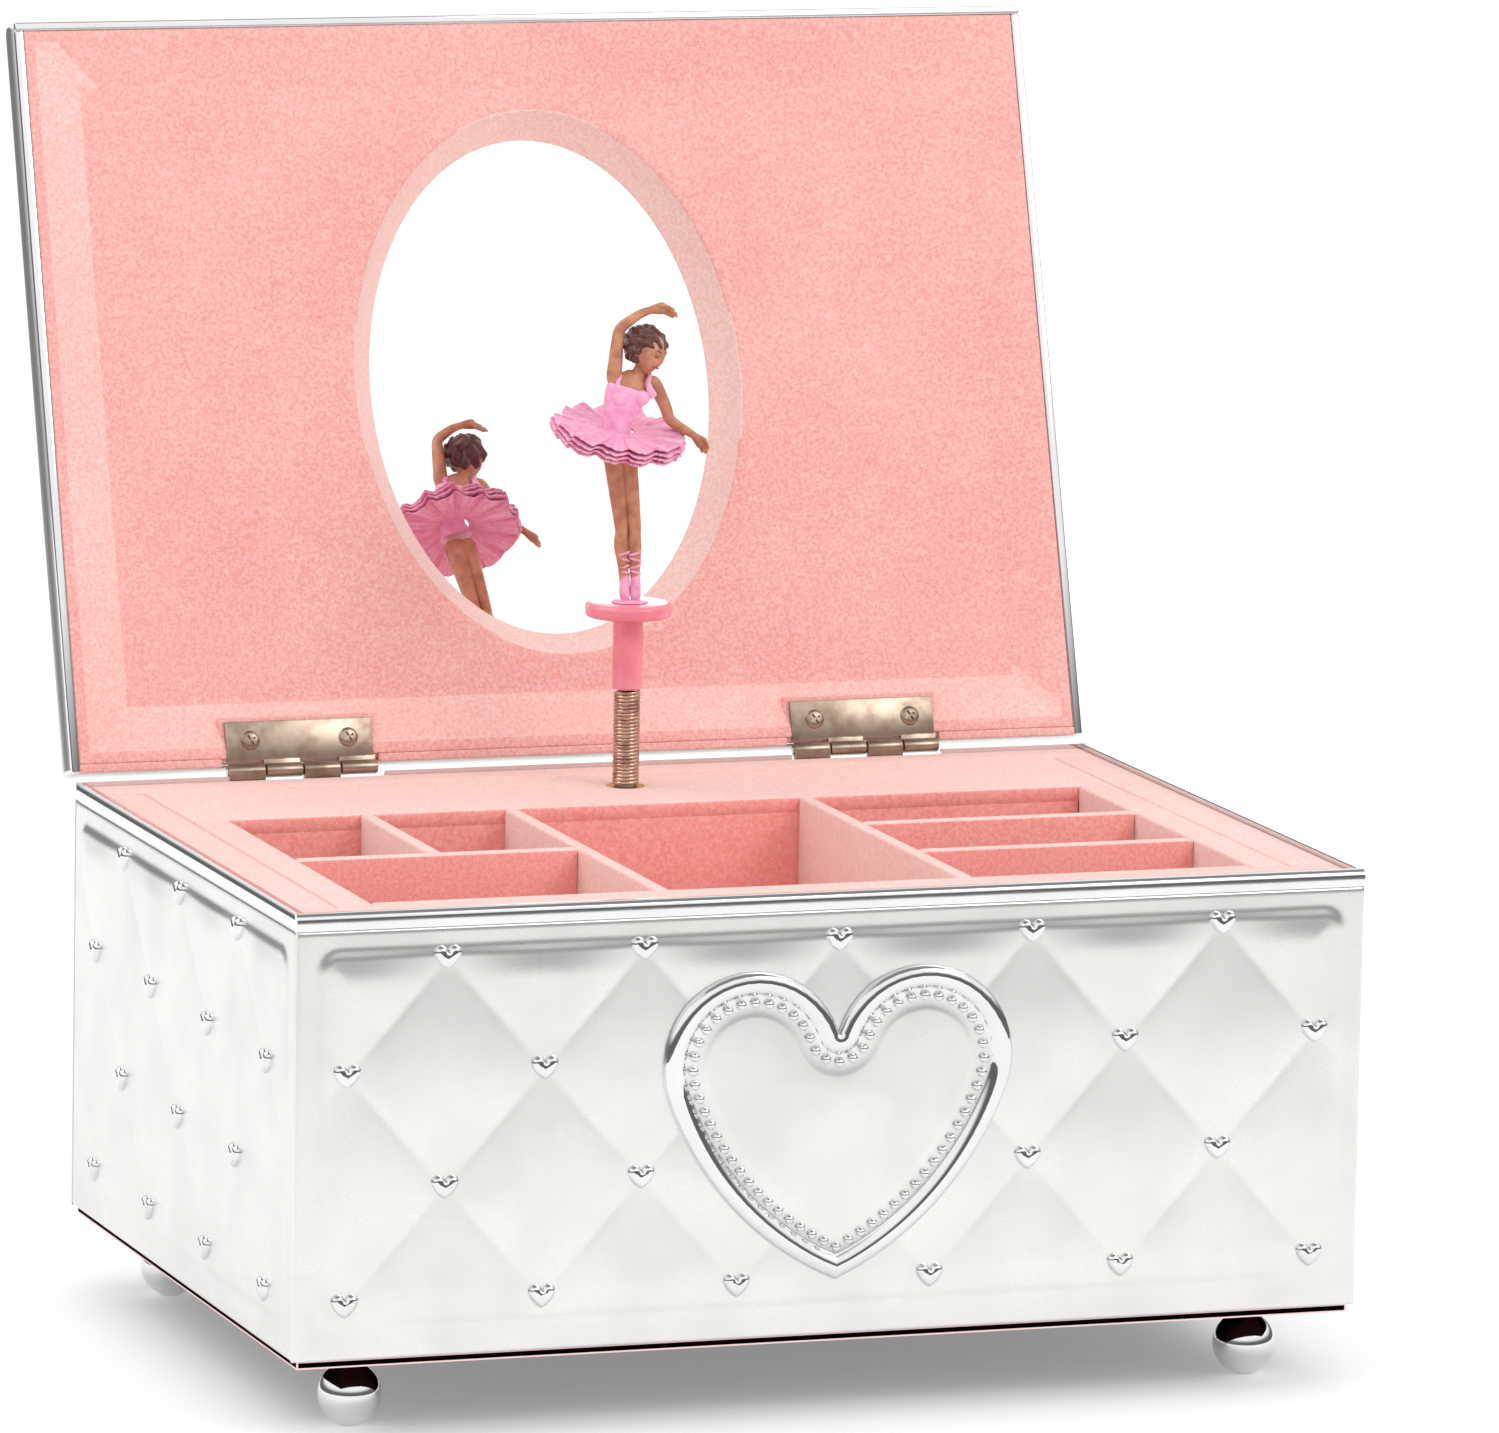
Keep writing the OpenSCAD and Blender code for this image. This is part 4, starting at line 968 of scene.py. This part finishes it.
class JEWEL_OT_boards(JewelOperator, bpy.types.Operator):
    """Cut the flocked boards: walls, base, ledge, tray and dividers, all with soft edges"""

    bl_idname = "jewel.boards"
    bl_label = "Flocked boards"

    def build(self, scene):
        for node, finish in (
            ("wall_front", "pale_flock"), ("wall_left", "pale_flock"), ("wall_right", "pale_flock"),
            ("base_board", "flock"), ("tray_floor", "flock"), ("tray_side_left", "pale_flock"),
            ("tray_side_right", "pale_flock"), ("tray_front", "pale_flock"), ("tray_bulkhead", "flock"),
            ("divider_left", "pale_flock"), ("divider_right", "pale_flock"),
            ("divider_left_cross", "pale_flock"), ("divider_left_short", "pale_flock"),
        ):
            bm = bmesh.new()
            block(bm, *box_mm(node), 0.05 if node == "tray_bulkhead" else 0.5, 3)
            # Forward-looking faces get the deeper pink as painted shade
            self.salmon_fronts(bm)
            piece(bm, "flocked_" + node, "case", [finish, "salmon"], "pink_flock_board", [node])
        self.crosses()
        self.back_wall()
        self.ledge()

    def salmon_fronts(self, bm):
        """Faces that look forward, away from the light at the back, get the deeper pink as painted shade."""
        for face in bm.faces:
            face.normal_update()
            if face.normal.y < -0.8:
                face.material_index = 1

    def crosses(self):
        """The two strips across the right-hand cells, as deep as the single strip on the left."""
        low, high = box_mm("dividers_right_cross")
        deep = box_mm("divider_left_cross")[1].y - box_mm("divider_left_cross")[0].y
        bm = bmesh.new()
        block(bm, low, (high.x, low.y + deep, high.z), 0.5, 3)
        block(bm, (low.x, high.y - deep, low.z), high, 0.5, 3)
        self.salmon_fronts(bm)
        piece(bm, "flocked_right_crosses", "case", ["pale_flock", "salmon"], "pink_flock_board",
              ["dividers_right_cross"])

    def back_wall(self):
        """The back wall, whose flocking covers the leaves let into its top."""
        low, high = box_mm("wall_back")
        bm = bmesh.new()
        block(bm, low, high, 0.5, 3)
        piece(bm, "flocked_wall_back", "case", ["pale_flock"], "pink_flock_board", ["wall_back"])

    def ledge(self):
        """The ledge, with a soft-edged hole for the spindle."""
        low, high = box_mm("ledge_board")
        bm = bmesh.new()
        share = [0, 0.01, 0.04, 0.1, 0.2, 0.3, 0.4, 0.46, 0.48, 0.5, 0.52, 0.54, 0.6, 0.7, 0.8, 0.9, 0.96, 0.99]

        def rim(inset, z):
            x0, x1, y0, y1 = low.x + inset, high.x - inset, low.y + inset, high.y - inset
            corners = [(x0, y0), (x1, y0), (x1, y1), (x0, y1), (x0, y0)]
            return [Vector((a[0] + (b[0] - a[0]) * s, a[1] + (b[1] - a[1]) * s, z))
                    for a, b in zip(corners, corners[1:]) for s in share]

        def hole(radius, z):
            points = []
            for spot in rim(0, z):
                away = Vector((spot.x / (high.x - low.x), (spot.y - SPINDLE.y) / (high.y - low.y)))
                away = away.normalized() * radius
                points.append(Vector((away.x, away.y + SPINDLE.y, z)))
            return points

        loops = [rim(0, low.z + 0.05), rim(0, high.z - 0.4), rim(0.12, high.z - 0.12), rim(0.4, high.z),
                 rim(0.8, high.z), hole(3.4, high.z), hole(3.0, high.z), hole(2.6, high.z - 0.1),
                 hole(2.4, high.z - 0.4), hole(2.4, low.z), rim(0.05, low.z)]
        loft(bm, [*loops, loops[0]])
        self.salmon_fronts(bm)
        piece(bm, "flocked_ledge", "case", ["pale_flock", "salmon"], "pink_flock_board", ["ledge_board"], sharp=60)


class JEWEL_OT_underside(JewelOperator, bpy.types.Operator):
    """Turn the ball feet and lay the felt under the case"""

    bl_idname = "jewel.underside"
    bl_label = "Feet and felt"

    def build(self, scene):
        low, high = box_mm("ball_feet")
        radius = 5.1
        outline = [(0, 0), (1.5, 0), (1.75, 0.05)]
        for i in range(1, 13):
            angle = -1.2 + (2.15 * i / 12)
            outline.append((radius * math.cos(angle), 5.0 + radius * math.sin(angle)))
        outline += [(2.75, 9.4), (2.6, 9.7), (2.6, high.z - 0.1), (2.5, high.z), (0, high.z)]
        bm = bmesh.new()
        for x in (low.x + radius, high.x - radius):
            for y in (low.y + radius, high.y - radius):
                turned(bm, outline, Matrix.Translation((x, y, low.z)), 48)
        piece(bm, "turned_feet", "case", ["polished_silver"], "silver_plate", ["ball_feet"])
        bm = bmesh.new()
        block(bm, *box_mm("base_felt"), 0.25, 2)
        piece(bm, "felt_sheet", "case", ["felt"], "pink_felt", [])


# ---- the spring and its stand ----


class JEWEL_OT_stand(JewelOperator, bpy.types.Operator):
    """Wind the coil spring under the dancer and turn the pink stand on top of it"""

    bl_idname = "jewel.stand"
    bl_label = "Spring and stand"

    def build(self, scene):
        low, high = box_mm("coil_spring")
        wire = 0.3
        radius = (high.x - low.x) / 2 - wire
        rise = high.z - low.z - 2 * wire
        turns = 26
        bm = bmesh.new()
        start = Matrix.Translation((radius, 0, low.z + wire)) @ Matrix.Rotation(math.pi / 2, 4, "X")
        loop = bmesh.ops.create_circle(bm, cap_ends=False, segments=8, radius=wire, matrix=start)
        geom = loop["verts"] + edges_of(loop["verts"])
        per_turn = 28
        bmesh.ops.spin(
            bm, geom=geom, cent=(0, 0, 0), axis=(0, 0, 1), angle=math.tau * turns, steps=per_turn * turns,
            dvec=(0, 0, rise / (per_turn * turns)), use_merge=False)
        bmesh.ops.holes_fill(bm, edges=[edge for edge in bm.edges if edge.is_boundary], sides=0)
        place = Matrix.Translation((0, SPINDLE.y, 0))
        spring = piece(bm, "wound_spring", None, ["spring_wire"], "spring_steel", ["coil_spring"], place, sharp=60)
        start, end = (Vector((0, SPINDLE.y, LEDGE_TOP + up)) * MM for up in (3.4, 9.8))
        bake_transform(spring)

        disc = box_mm("dancer_stand")
        wide = (disc[1].x - disc[0].x) / 2
        foot, top = disc[0].z, disc[1].z
        stem, bore = 2.5, 1.42
        under = top - 2.4
        outline = [
            (bore, foot), (stem - 0.2, foot), (stem, foot + 0.2), (stem, under - 0.6), (stem + 0.15, under - 0.2),
            (stem + 0.6, under), (wide - 0.5, under), (wide - 0.1, under + 0.2), (wide, under + 0.6),
            (wide, top - 0.75), (wide - 0.12, top - 0.35), (wide - 0.45, top - 0.08), (wide - 0.9, top),
            (0, top), (0, foot + 5), (bore, foot + 5)]
        bm = bmesh.new()
        turned(bm, outline + outline[:1], place, 72)
        piece(bm, "moulded_stand", "dancer", ["pink_plastic"], "pink_plastic", ["dancer_stand"], sharp=40)


# ---- the dancer ----

# Heights and positions below are measured from the middle of the stand's top
ON_STAND = Matrix.Translation((0, SPINDLE.y, DISC_TOP))
DANCER_SCALE = (box_mm("dancer")[1].z - DISC_TOP) / 50.6


def swell(spot, x, z, wide, high):
    """A soft round swelling, seen from the front: 1 at its middle and 0 away from it."""
    return math.exp(-(((spot.x - x) / wide) ** 2) - ((spot.z - z) / high) ** 2)


def hand(bm, wrist, palm, tip, spread):
    """A small open hand: a flattened palm, four fingers laid together and a thumb."""
    wrist, palm, tip, spread = Vector(wrist), Vector(palm), Vector(tip), Vector(spread)
    limb(bm, smooth_path([(wrist, 0.72, 0.6), (wrist.lerp(palm, 0.5), 0.9, 0.55), (palm, 1.05, 0.5)], 3), 12)
    for i, long in enumerate((0.8, 1.0, 0.93, 0.7)):
        side = spread * (i - 1.5) * 0.42
        start, end = palm + side - (tip - palm) * 0.15, palm.lerp(tip, long) + side * 1.15
        middle = start.lerp(end, 0.5) + Vector((0, -0.12, 0.1))
        limb(bm, smooth_path([(start, 0.34, 0.34), (middle, 0.31, 0.3), (end, 0.22, 0.22)], 3), 8)
    start = wrist.lerp(palm, 0.55) + spread * 0.75
    limb(bm, smooth_path([(start, 0.36, 0.32), (start.lerp(tip, 0.3) + spread * 0.5, 0.28, 0.28)], 2), 8)


class JEWEL_OT_dancer(JewelOperator, bpy.types.Operator):
    """Model the painted dancer: legs on the toes, body, arms, head and hair"""

    bl_idname = "jewel.dancer"
    bl_label = "Dancer"

    def build(self, scene):
        place = ON_STAND @ Matrix.Scale(DANCER_SCALE, 4)
        for name, shapes, finishes, nodes in (
            ("figure", (self.legs, self.arms, self.chest), ["skin"], ["dancer"]),
            ("head", (self.head,), ["skin", "dark_paint", "lip_paint"], []),
            ("hair", (self.hair,), ["hair"], []),
            ("bodice", (self.bodice,), ["bodice"], []),
            ("slippers", (self.slippers,), ["bodice"], []),
        ):
            bm = bmesh.new()
            for shape in shapes:
                shape(bm)
            piece(bm, "dancer_" + name, "dancer", finishes, "figure_plastic", nodes, place, sharp=60)

    def legs(self, bm):
        for ankle, knee, hip in (
            ((-0.85, 0.1, 3.4), (-1.55, -0.1, 13.0), (-2.9, 0, 24.5)),
            ((0.95, -0.45, 3.4), (0.6, -0.5, 13.0), (-0.9, 0, 24.5)),
        ):
            calf = Vector(ankle).lerp(Vector(knee), 0.62) + Vector((0, 0.35, 0))
            thigh = Vector(knee).lerp(Vector(hip), 0.55)
            limb(bm, smooth_path([
                ((ankle[0], ankle[1] - 0.2, 1.6), 0.7, 0.8), (ankle, 0.72, 0.78),
                (Vector(ankle).lerp(Vector(knee), 0.3), 0.92, 1.0), (calf, 1.26, 1.34),
                (Vector(ankle).lerp(Vector(knee), 0.86), 1.08, 1.14), (knee, 1.14, 1.2),
                (thigh, 1.55, 1.65), (hip, 1.85, 2.0)], 5), 20)

    def arms(self, bm):
        raised = [
            ((-1.9, 0, 36.6), 1.3, 1.3), ((-3.1, 0, 37.6), 1.32, 1.3), ((-3.0, -0.05, 40.5), 1.2, 1.16),
            ((-2.75, -0.1, 43.4), 1.08, 1.02), ((-2.35, -0.2, 45.8), 0.95, 0.92),
            ((-0.7, -0.5, 47.3), 0.86, 0.84), ((1.2, -0.75, 48.5), 0.74, 0.7), ((3.1, -0.9, 49.1), 0.62, 0.56)]
        lowered = [
            ((2.2, 0, 36.2), 1.3, 1.3), ((3.6, 0, 36.7), 1.28, 1.26), ((4.9, -0.15, 34.6), 1.14, 1.1),
            ((5.9, -0.3, 32.4), 1.02, 0.98), ((6.5, -0.4, 30.7), 0.95, 0.9), ((7.9, -0.6, 29.5), 0.86, 0.82),
            ((9.6, -0.75, 28.5), 0.72, 0.68), ((11.1, -0.9, 27.5), 0.6, 0.54)]
        for way in (raised, lowered):
            limb(bm, smooth_path(way, 5), 18)
        hand(bm, (3.0, -0.9, 49.1), (4.6, -1.0, 49.3), (7.3, -1.15, 48.1), (0.1, -0.5, 0.85))
        hand(bm, (11.0, -0.9, 27.5), (12.0, -1.0, 26.6), (12.9, -1.1, 24.9), (0.65, -0.5, 0.35))

    def chest(self, bm):
        limb(bm, smooth_path([
            ((-1.9, 0, 31.0), 1.6, 1.3), ((-1.5, 0, 33.0), 2.8, 2.0), ((-0.9, 0, 34.8), 3.35, 2.2),
            ((-0.1, 0, 36.6), 3.3, 1.75), ((0.5, -0.05, 37.7), 2.1, 1.4), ((1.0, -0.15, 38.4), 1.2, 1.15),
            ((1.5, -0.4, 39.6), 1.12, 1.1), ((1.9, -0.6, 40.8), 1.2, 1.2)], 5), 28)

    def bodice(self, bm):
        limb(bm, smooth_path([
            ((-2.35, 0, 26.6), 2.95, 2.3), ((-2.6, 0, 28.6), 2.5, 2.0), ((-2.55, 0, 30.2), 2.42, 1.95),
            ((-2.1, -0.05, 32.2), 2.9, 2.25), ((-1.5, -0.15, 34.0), 3.5, 2.55), ((-1.0, -0.2, 35.2), 3.7, 2.5),
            ((-0.75, -0.15, 35.9), 3.6, 2.35)], 6), 40, False)
        for x, y in ((-2.6, -2.0), (0.9, -1.95)):
            bump = Matrix.Translation((x, y, 34.5)) @ Matrix.Diagonal((1.55, 0.95, 1.35, 1))
            bmesh.ops.create_uvsphere(bm, u_segments=20, v_segments=12, radius=1, matrix=bump)
        for x0, x1 in ((-3.6, -2.3), (2.3, 2.9)):
            for y in (-1.0, 1.0):
                limb(bm, smooth_path([
                    ((x0 + 0.5, y * 2.05, 35.0), 0.85, 0.3), ((x0 * 0.93 + 0.3, y * 1.95, 36.0), 0.62, 0.28),
                    ((x0 * 0.9 + 0.2, y * 1.6, 37.0), 0.42, 0.25), ((x1, y * 0.7, 38.15), 0.36, 0.24),
                    ((x1, 0, 38.45), 0.36, 0.24)], 4), 12)

    def head(self, bm):
        place = Matrix.Translation((2.5, -0.9, 42.1)) @ tilted(*map(math.radians, (18, 12, 32)))
        made = bmesh.ops.create_uvsphere(bm, u_segments=40, v_segments=28, radius=1)
        for vert in made["verts"]:
            x, y, z = vert.co
            jaw = ease(-z * 1.1)
            width = 2.75 * (1 - 0.34 * jaw)
            deep = 3.0 * (1 - 0.2 * jaw)
            vert.co = (x * width, y * deep - 0.35 * jaw, z * (3.35 if z > 0 else 3.75))
            face = ease((-y - 0.2) * 1.5)
            nose = swell(vert.co, 0, -0.55, 0.42, 0.75)
            brow = math.exp(-((vert.co.z - 0.75) / 0.55) ** 2) * 0.16
            socket = sum(swell(vert.co, e * 1.05, 0.15, 0.6, 0.45) for e in (-1, 1))
            cheek = sum(swell(vert.co, e * 1.3, -1.15, 0.8, 0.8) for e in (-1, 1))
            mouth = swell(vert.co, 0, -1.75, 0.8, 0.32)
            chin = swell(vert.co, 0, -2.95, 0.8, 0.6)
            vert.co.y -= face * (0.62 * nose + brow - 0.3 * socket + 0.16 * cheek + 0.2 * mouth + 0.25 * chin)
        bmesh.ops.transform(bm, matrix=place, verts=made["verts"])
        for e in (-1, 1):
            ear = place @ Matrix.Translation((e * 2.62, 0.15, -0.3)) @ Matrix.Diagonal((0.34, 0.62, 0.9, 1))
            bmesh.ops.create_uvsphere(bm, u_segments=14, v_segments=10, radius=1, matrix=ear)
            for first, along, front, up, curl, pace, width in (
                (0.5, 0.42, -2.92, 0.95, 0.16, 1.1, 0.12),
                (0.55, 0.36, -2.83, 0.12, -0.12, 1, 0.13),
            ):
                line = [(place @ Vector((e * (first + along * i), front + 0.17 * i * i,
                                         up + curl * math.sin(i * pace))), 0.1, width) for i in range(4)]
                self.painted(bm, line, 1)
        lips = [(place @ Vector((0.34 * i, -3.02 + 0.12 * i * i, -1.72 - 0.05 * i * i)),
                 0.13 + 0.05 * (i == 0), 0.17) for i in (-2, -1, 0, 1, 2)]
        self.painted(bm, lips, 2)

    def painted(self, bm, way, material):
        before = set(bm.faces)
        limb(bm, smooth_path(way, 3), 8)
        for face in set(bm.faces) - before:
            face.material_index = material

    def hair(self, bm):
        made = bmesh.ops.create_uvsphere(bm, u_segments=64, v_segments=40, radius=1)
        place = Matrix.Translation((2.15, -0.45, 42.9)) @ tilted(*map(math.radians, (24, 10, 32)))
        for vert in made["verts"]:
            x, y, z = vert.co
            wave = 0.09 * math.sin(9 * math.atan2(x, z + 0.001) + 3 * y) + 0.12 * noise.noise(vert.co * 3.5)
            cut = 1 - 0.42 * ease((-y - 0.3) * 2.2) * ease((0.45 - z) * 1.9)
            vert.co = Vector((x * 3.55, y * 3.65 + 0.15, z * 3.3)) * (1 + wave) * cut
        bmesh.ops.transform(bm, matrix=place, verts=made["verts"])
        bun = bmesh.ops.create_uvsphere(bm, u_segments=40, v_segments=24, radius=1)
        for vert in bun["verts"]:
            turn = math.atan2(vert.co.y, vert.co.x)
            vert.co *= 1 + 0.07 * math.sin(5 * turn + 6 * vert.co.z)
            vert.co = Vector((vert.co.x * 1.75, vert.co.y * 1.75, vert.co.z * 1.3))
        place = Matrix.Translation((1.0, 2.6, 43.9)) @ tilted(-0.9, -0.3, 0)
        bmesh.ops.transform(bm, matrix=place, verts=bun["verts"])

    def slippers(self, bm):
        for x, y in ((-0.75, -0.1), (0.95, -0.65)):
            limb(bm, smooth_path([
                ((x, y - 0.15, 0.15), 0.6, 0.62), ((x, y - 0.1, 0.9), 0.82, 0.9), ((x, y, 2.0), 0.9, 1.0),
                ((x, y + 0.05, 3.1), 0.84, 0.96), ((x, y + 0.1, 3.9), 0.8, 0.86)], 4), 18)
            for i, z in enumerate((4.3, 5.1, 6.1, 7.2, 8.3)):
                lean = 0.3 if i % 2 else -0.3
                band = Matrix.Translation((x - 0.05 * i, y + 0.14 + 0.02 * i, z)) @ Matrix.Rotation(lean, 4, "Y")
                flat, round_out = 0.84 * (1 + 0.12 * i), 0.92 * (1 + 0.12 * i)
                turned(bm, [(0.5, -0.2), (flat, -0.2), (round_out, 0), (flat, 0.2), (0.5, 0.2)], band, 24)
        pad = [(0, -0.05), (2.6, -0.05), (3.1, 0.1), (2.7, 0.34), (1.6, 0.5), (0, 0.55)]
        turned(bm, pad, Matrix.Translation((0.1, -0.35, 0)), 40)


class JEWEL_OT_tutu(JewelOperator, bpy.types.Operator):
    """Flare the tutu: three ruffled layers that tip forward from the waist"""

    bl_idname = "jewel.tutu"
    bl_label = "Tutu"

    def build(self, scene):
        tip = tilted(math.radians(13), math.radians(5), 0)
        place = ON_STAND @ Matrix.Scale(DANCER_SCALE, 4) @ Matrix.Translation((-2.1, 0, 28.3)) @ tip
        bm = bmesh.new()
        fold = bm.verts.layers.float.new("fold")
        for reach, drop, waves, height, phase in (
            (10.7, 0.75, 14, 0.36, 0.0), (11.1, -0.05, 14, 0.4, 0.35), (11.1, -0.85, 14, 0.4, 0.7),
            (10.6, -1.6, 14, 0.4, 1.1)):
            self.layer(bm, fold, reach, drop, waves, height, phase)
        piece(bm, "ruffled_tutu", "dancer", ["dress"], "tulle", ["tutu"], place, sharp=80)

    def layer(self, bm, fold, reach, drop, waves, height, phase):
        """One closed ruffle: out along its top, round the thin hem and back along its underside."""
        sides, parts, thick, waist = 224, 20, 0.34, 2.35
        before = set(bm.verts)
        track = [(waist + (reach - waist) * i / parts, thick) for i in range(parts + 1)]
        track += [(reach + 0.12, thick / 2)]
        track += [(waist + (reach - waist) * i / parts, 0.0) for i in range(parts, -1, -1)]
        verts = [bm.verts.new((r, 0, z)) for r, z in track]
        edges = [bm.edges.new(pair) for pair in zip(verts, verts[1:] + verts[:1])]
        bmesh.ops.spin(
            bm, geom=verts + edges, cent=(0, 0, 0), axis=(0, 0, 1), angle=math.tau, steps=sides, use_merge=True
        )
        for vert in set(bm.verts) - before:
            radius, turn = math.hypot(vert.co.x, vert.co.y), math.atan2(vert.co.y, vert.co.x)
            out = max((radius - waist) / (reach - waist), 0)
            sway = 0.35 * math.sin(3 * turn + phase * 2)
            wave = math.sin(waves * turn + phase + sway) + 0.35 * math.sin(2 * waves * turn + phase)
            fine = math.sin(waves * 4 * turn + 2 * math.sin(turn * 5 + phase))
            # How deep in a ruffle each point lies, which the dress paints as shade
            vert[fold] = 0.5 + 0.28 * wave * out + 0.2 * fine * min(out * 3, 1)
            grow = 1 + 0.03 * out * math.sin(7 * turn + phase) + 0.02 * out * wave
            vert.co.x *= grow
            vert.co.y *= grow
            vert.co.z += drop * out**0.9 + height * wave * out**1.6 + 0.05 * fine * out + 0.5 * (1 - out) ** 2


# ---- the movement, the mirror and other plain parts ----


class JEWEL_OT_finishes(JewelOperator, bpy.types.Operator):
    """Paint the parts kept as they were drawn: the mirror, the movement and its screws"""

    bl_idname = "jewel.finishes"
    bl_label = "Mirror and movement"

    def build(self, scene):
        for finish, nodes in (
            ("mirror", ("lid_mirror",)),
            ("card", ("mirror_backing",)),
            ("steel", ("foot_screws", "hinge_body_screws", "bedplate_screws", "comb_screws")),
            ("brass", ("spindle_bush", "arbor_bush", "pin_cylinder", "governor_wheel", "governor_frame",
                       "winding_arbor", "winding_key")),
            ("zinc", ("movement_bedplate", "spring_drum", "drum_cover", "cylinder_brackets", "comb_block",
                      "governor_fly", "spring_plug")),
            ("dark_steel", ("mainspring", "comb")),
        ):
            for node in nodes:
                self.paint(node, finish)

    def paint(self, node, finish):
        held = bpy.data.objects[node]
        held.data.materials.clear()
        held.data.materials.append(FINISHES[finish])


# ---- the stage ----


def lamp(name, place, aim, size, power):
    """A square white lamp at a place in metres, turned towards its aim."""
    data = bpy.data.lights.new(name, "AREA")
    data.shape, data.size, data.size_y, data.energy = "RECTANGLE", size, size, power
    made = bpy.data.objects.new(name, data)
    made.location = place
    made.rotation_euler = (Vector(place) - Vector(aim)).to_track_quat("Z", "Y").to_euler()
    bpy.context.scene.collection.objects.link(made)


class JEWEL_OT_stage(JewelOperator, bpy.types.Operator):
    """Set the pale floor, the lights, the white room and the camera"""

    bl_idname = "jewel.stage"
    bl_label = "Stage"

    def build(self, scene):
        stage = scene.jewel_stage
        bm = bmesh.new()
        middle = Matrix.Translation((0.12, 0, 0))
        bmesh.ops.create_circle(bm, cap_ends=True, segments=96, radius=0.85, matrix=middle)
        mesh = bpy.data.meshes.new("floor")
        bm.to_mesh(mesh)
        bm.free()
        mesh.polygons.foreach_set("use_smooth", [True] * len(mesh.polygons))
        paper = Finish("white_paper", Base_Color=(0.8, 0.8, 0.8, 1), Roughness=0.9, Specular_IOR_Level=0.1,
                       Emission_Color=(1, 1, 1, 1), Emission_Strength=0.25)
        mesh.materials.append(paper.material)
        floor = bpy.data.objects.new("floor", mesh)
        scene.collection.objects.link(floor)

        world = bpy.data.worlds.new("white_room")
        scene.world = world
        world.use_nodes = True
        nodes, links = world.node_tree.nodes, world.node_tree.links
        back = nodes["Background"]
        way = nodes.new("ShaderNodeTexCoord")
        parts = nodes.new("ShaderNodeSeparateXYZ")
        above = nodes.new("ShaderNodeMapRange")
        ramp = nodes.new("ShaderNodeValToRGB")
        path = nodes.new("ShaderNodeLightPath")
        seen = nodes.new("ShaderNodeMix")
        seen.data_type = "RGBA"
        above.inputs[1].default_value = -1
        links.new(way.outputs["Generated"], parts.inputs[0])
        links.new(parts.outputs["Z"], above.inputs[0])
        links.new(above.outputs[0], ramp.inputs[0])
        links.new(path.outputs["Is Glossy Ray"], seen.inputs[0])
        links.new(ramp.outputs[0], seen.inputs[7])
        seen.inputs[6].default_value = (0.85, 0.85, 0.85, 1)
        links.new(seen.outputs[2], back.inputs[0])
        # Brightness of the room from straight down, through the level, to straight up
        stops = ((0.0, 0.7), (0.4, 0.4), (0.46, 0.13), (0.58, 0.13), (0.66, 0.95), (0.88, 1.0), (0.95, 0.25))
        for index, (position, value) in enumerate(stops):
            elements = ramp.color_ramp.elements
            stop = elements[index] if index < 2 else elements.new(position)
            stop.position, stop.color = position, (value, value, value, 1)
        back.inputs[1].default_value = stage.sky

        lamp("key_light", (-1.0, 0.5, 1.5), (0, 0, 0.05), 0.9, stage.key)
        lamp("fill_light", (1.0, -1.3, 1.3), (0, 0, 0.1), 0.8, stage.fill)

        camera = bpy.data.cameras.new("camera")
        camera.sensor_width, camera.lens = 36, stage.lens
        camera.shift_x, camera.shift_y = stage.shift
        camera.clip_start, camera.clip_end = 0.05, 50
        seen = bpy.data.objects.new("camera", camera)
        turn = (Matrix.Rotation(-stage.turn, 4, "Z") @ Matrix.Rotation(math.pi / 2 - stage.dip, 4, "X")
                @ Matrix.Rotation(stage.roll, 4, "Z"))
        seen.matrix_world = Matrix.Translation(stage.place) @ turn
        scene.collection.objects.link(seen)
        scene.camera = seen
        scene.view_settings.view_transform = "Standard"


# ---- the panel ----

OPERATORS = (
    JEWEL_OT_sides, JEWEL_OT_rims, JEWEL_OT_lid, JEWEL_OT_liner, JEWEL_OT_hinges, JEWEL_OT_boards,
    JEWEL_OT_underside, JEWEL_OT_stand, JEWEL_OT_dancer, JEWEL_OT_tutu, JEWEL_OT_finishes, JEWEL_OT_stage,
)
GROUPS = (("jewel_colours", JewelColours), ("jewel_plate", JewelPlate), ("jewel_stage", JewelStage))


class JEWEL_PT_panel(bpy.types.Panel):
    """Lists the settings and the pieces of the jewellery box"""

    bl_idname = "JEWEL_PT_panel"
    bl_label = "Jewellery box"
    bl_space_type = "VIEW_3D"
    bl_region_type = "UI"
    bl_category = "Jewellery box"

    def draw(self, context):
        for name, group in GROUPS:
            column = self.layout.column(align=True)
            for setting in group.__annotations__:
                column.prop(getattr(context.scene, name), setting)
        column = self.layout.column(align=True)
        for operator in OPERATORS:
            column.operator(operator.bl_idname)


def register():
    for made in (*[group for _, group in GROUPS], *OPERATORS, JEWEL_PT_panel):
        bpy.utils.register_class(made)
    for name, group in GROUPS:
        setattr(bpy.types.Scene, name, bpy.props.PointerProperty(type=group))


def unregister():
    for name, _ in GROUPS:
        delattr(bpy.types.Scene, name)
    for made in (JEWEL_PT_panel, *reversed(OPERATORS), *[group for _, group in reversed(GROUPS)]):
        bpy.utils.unregister_class(made)


def main():
    register()
    for operator in OPERATORS:
        group, name = operator.bl_idname.split(".")
        getattr(getattr(bpy.ops, group), name)()


if __name__ == "__main__":
    main()
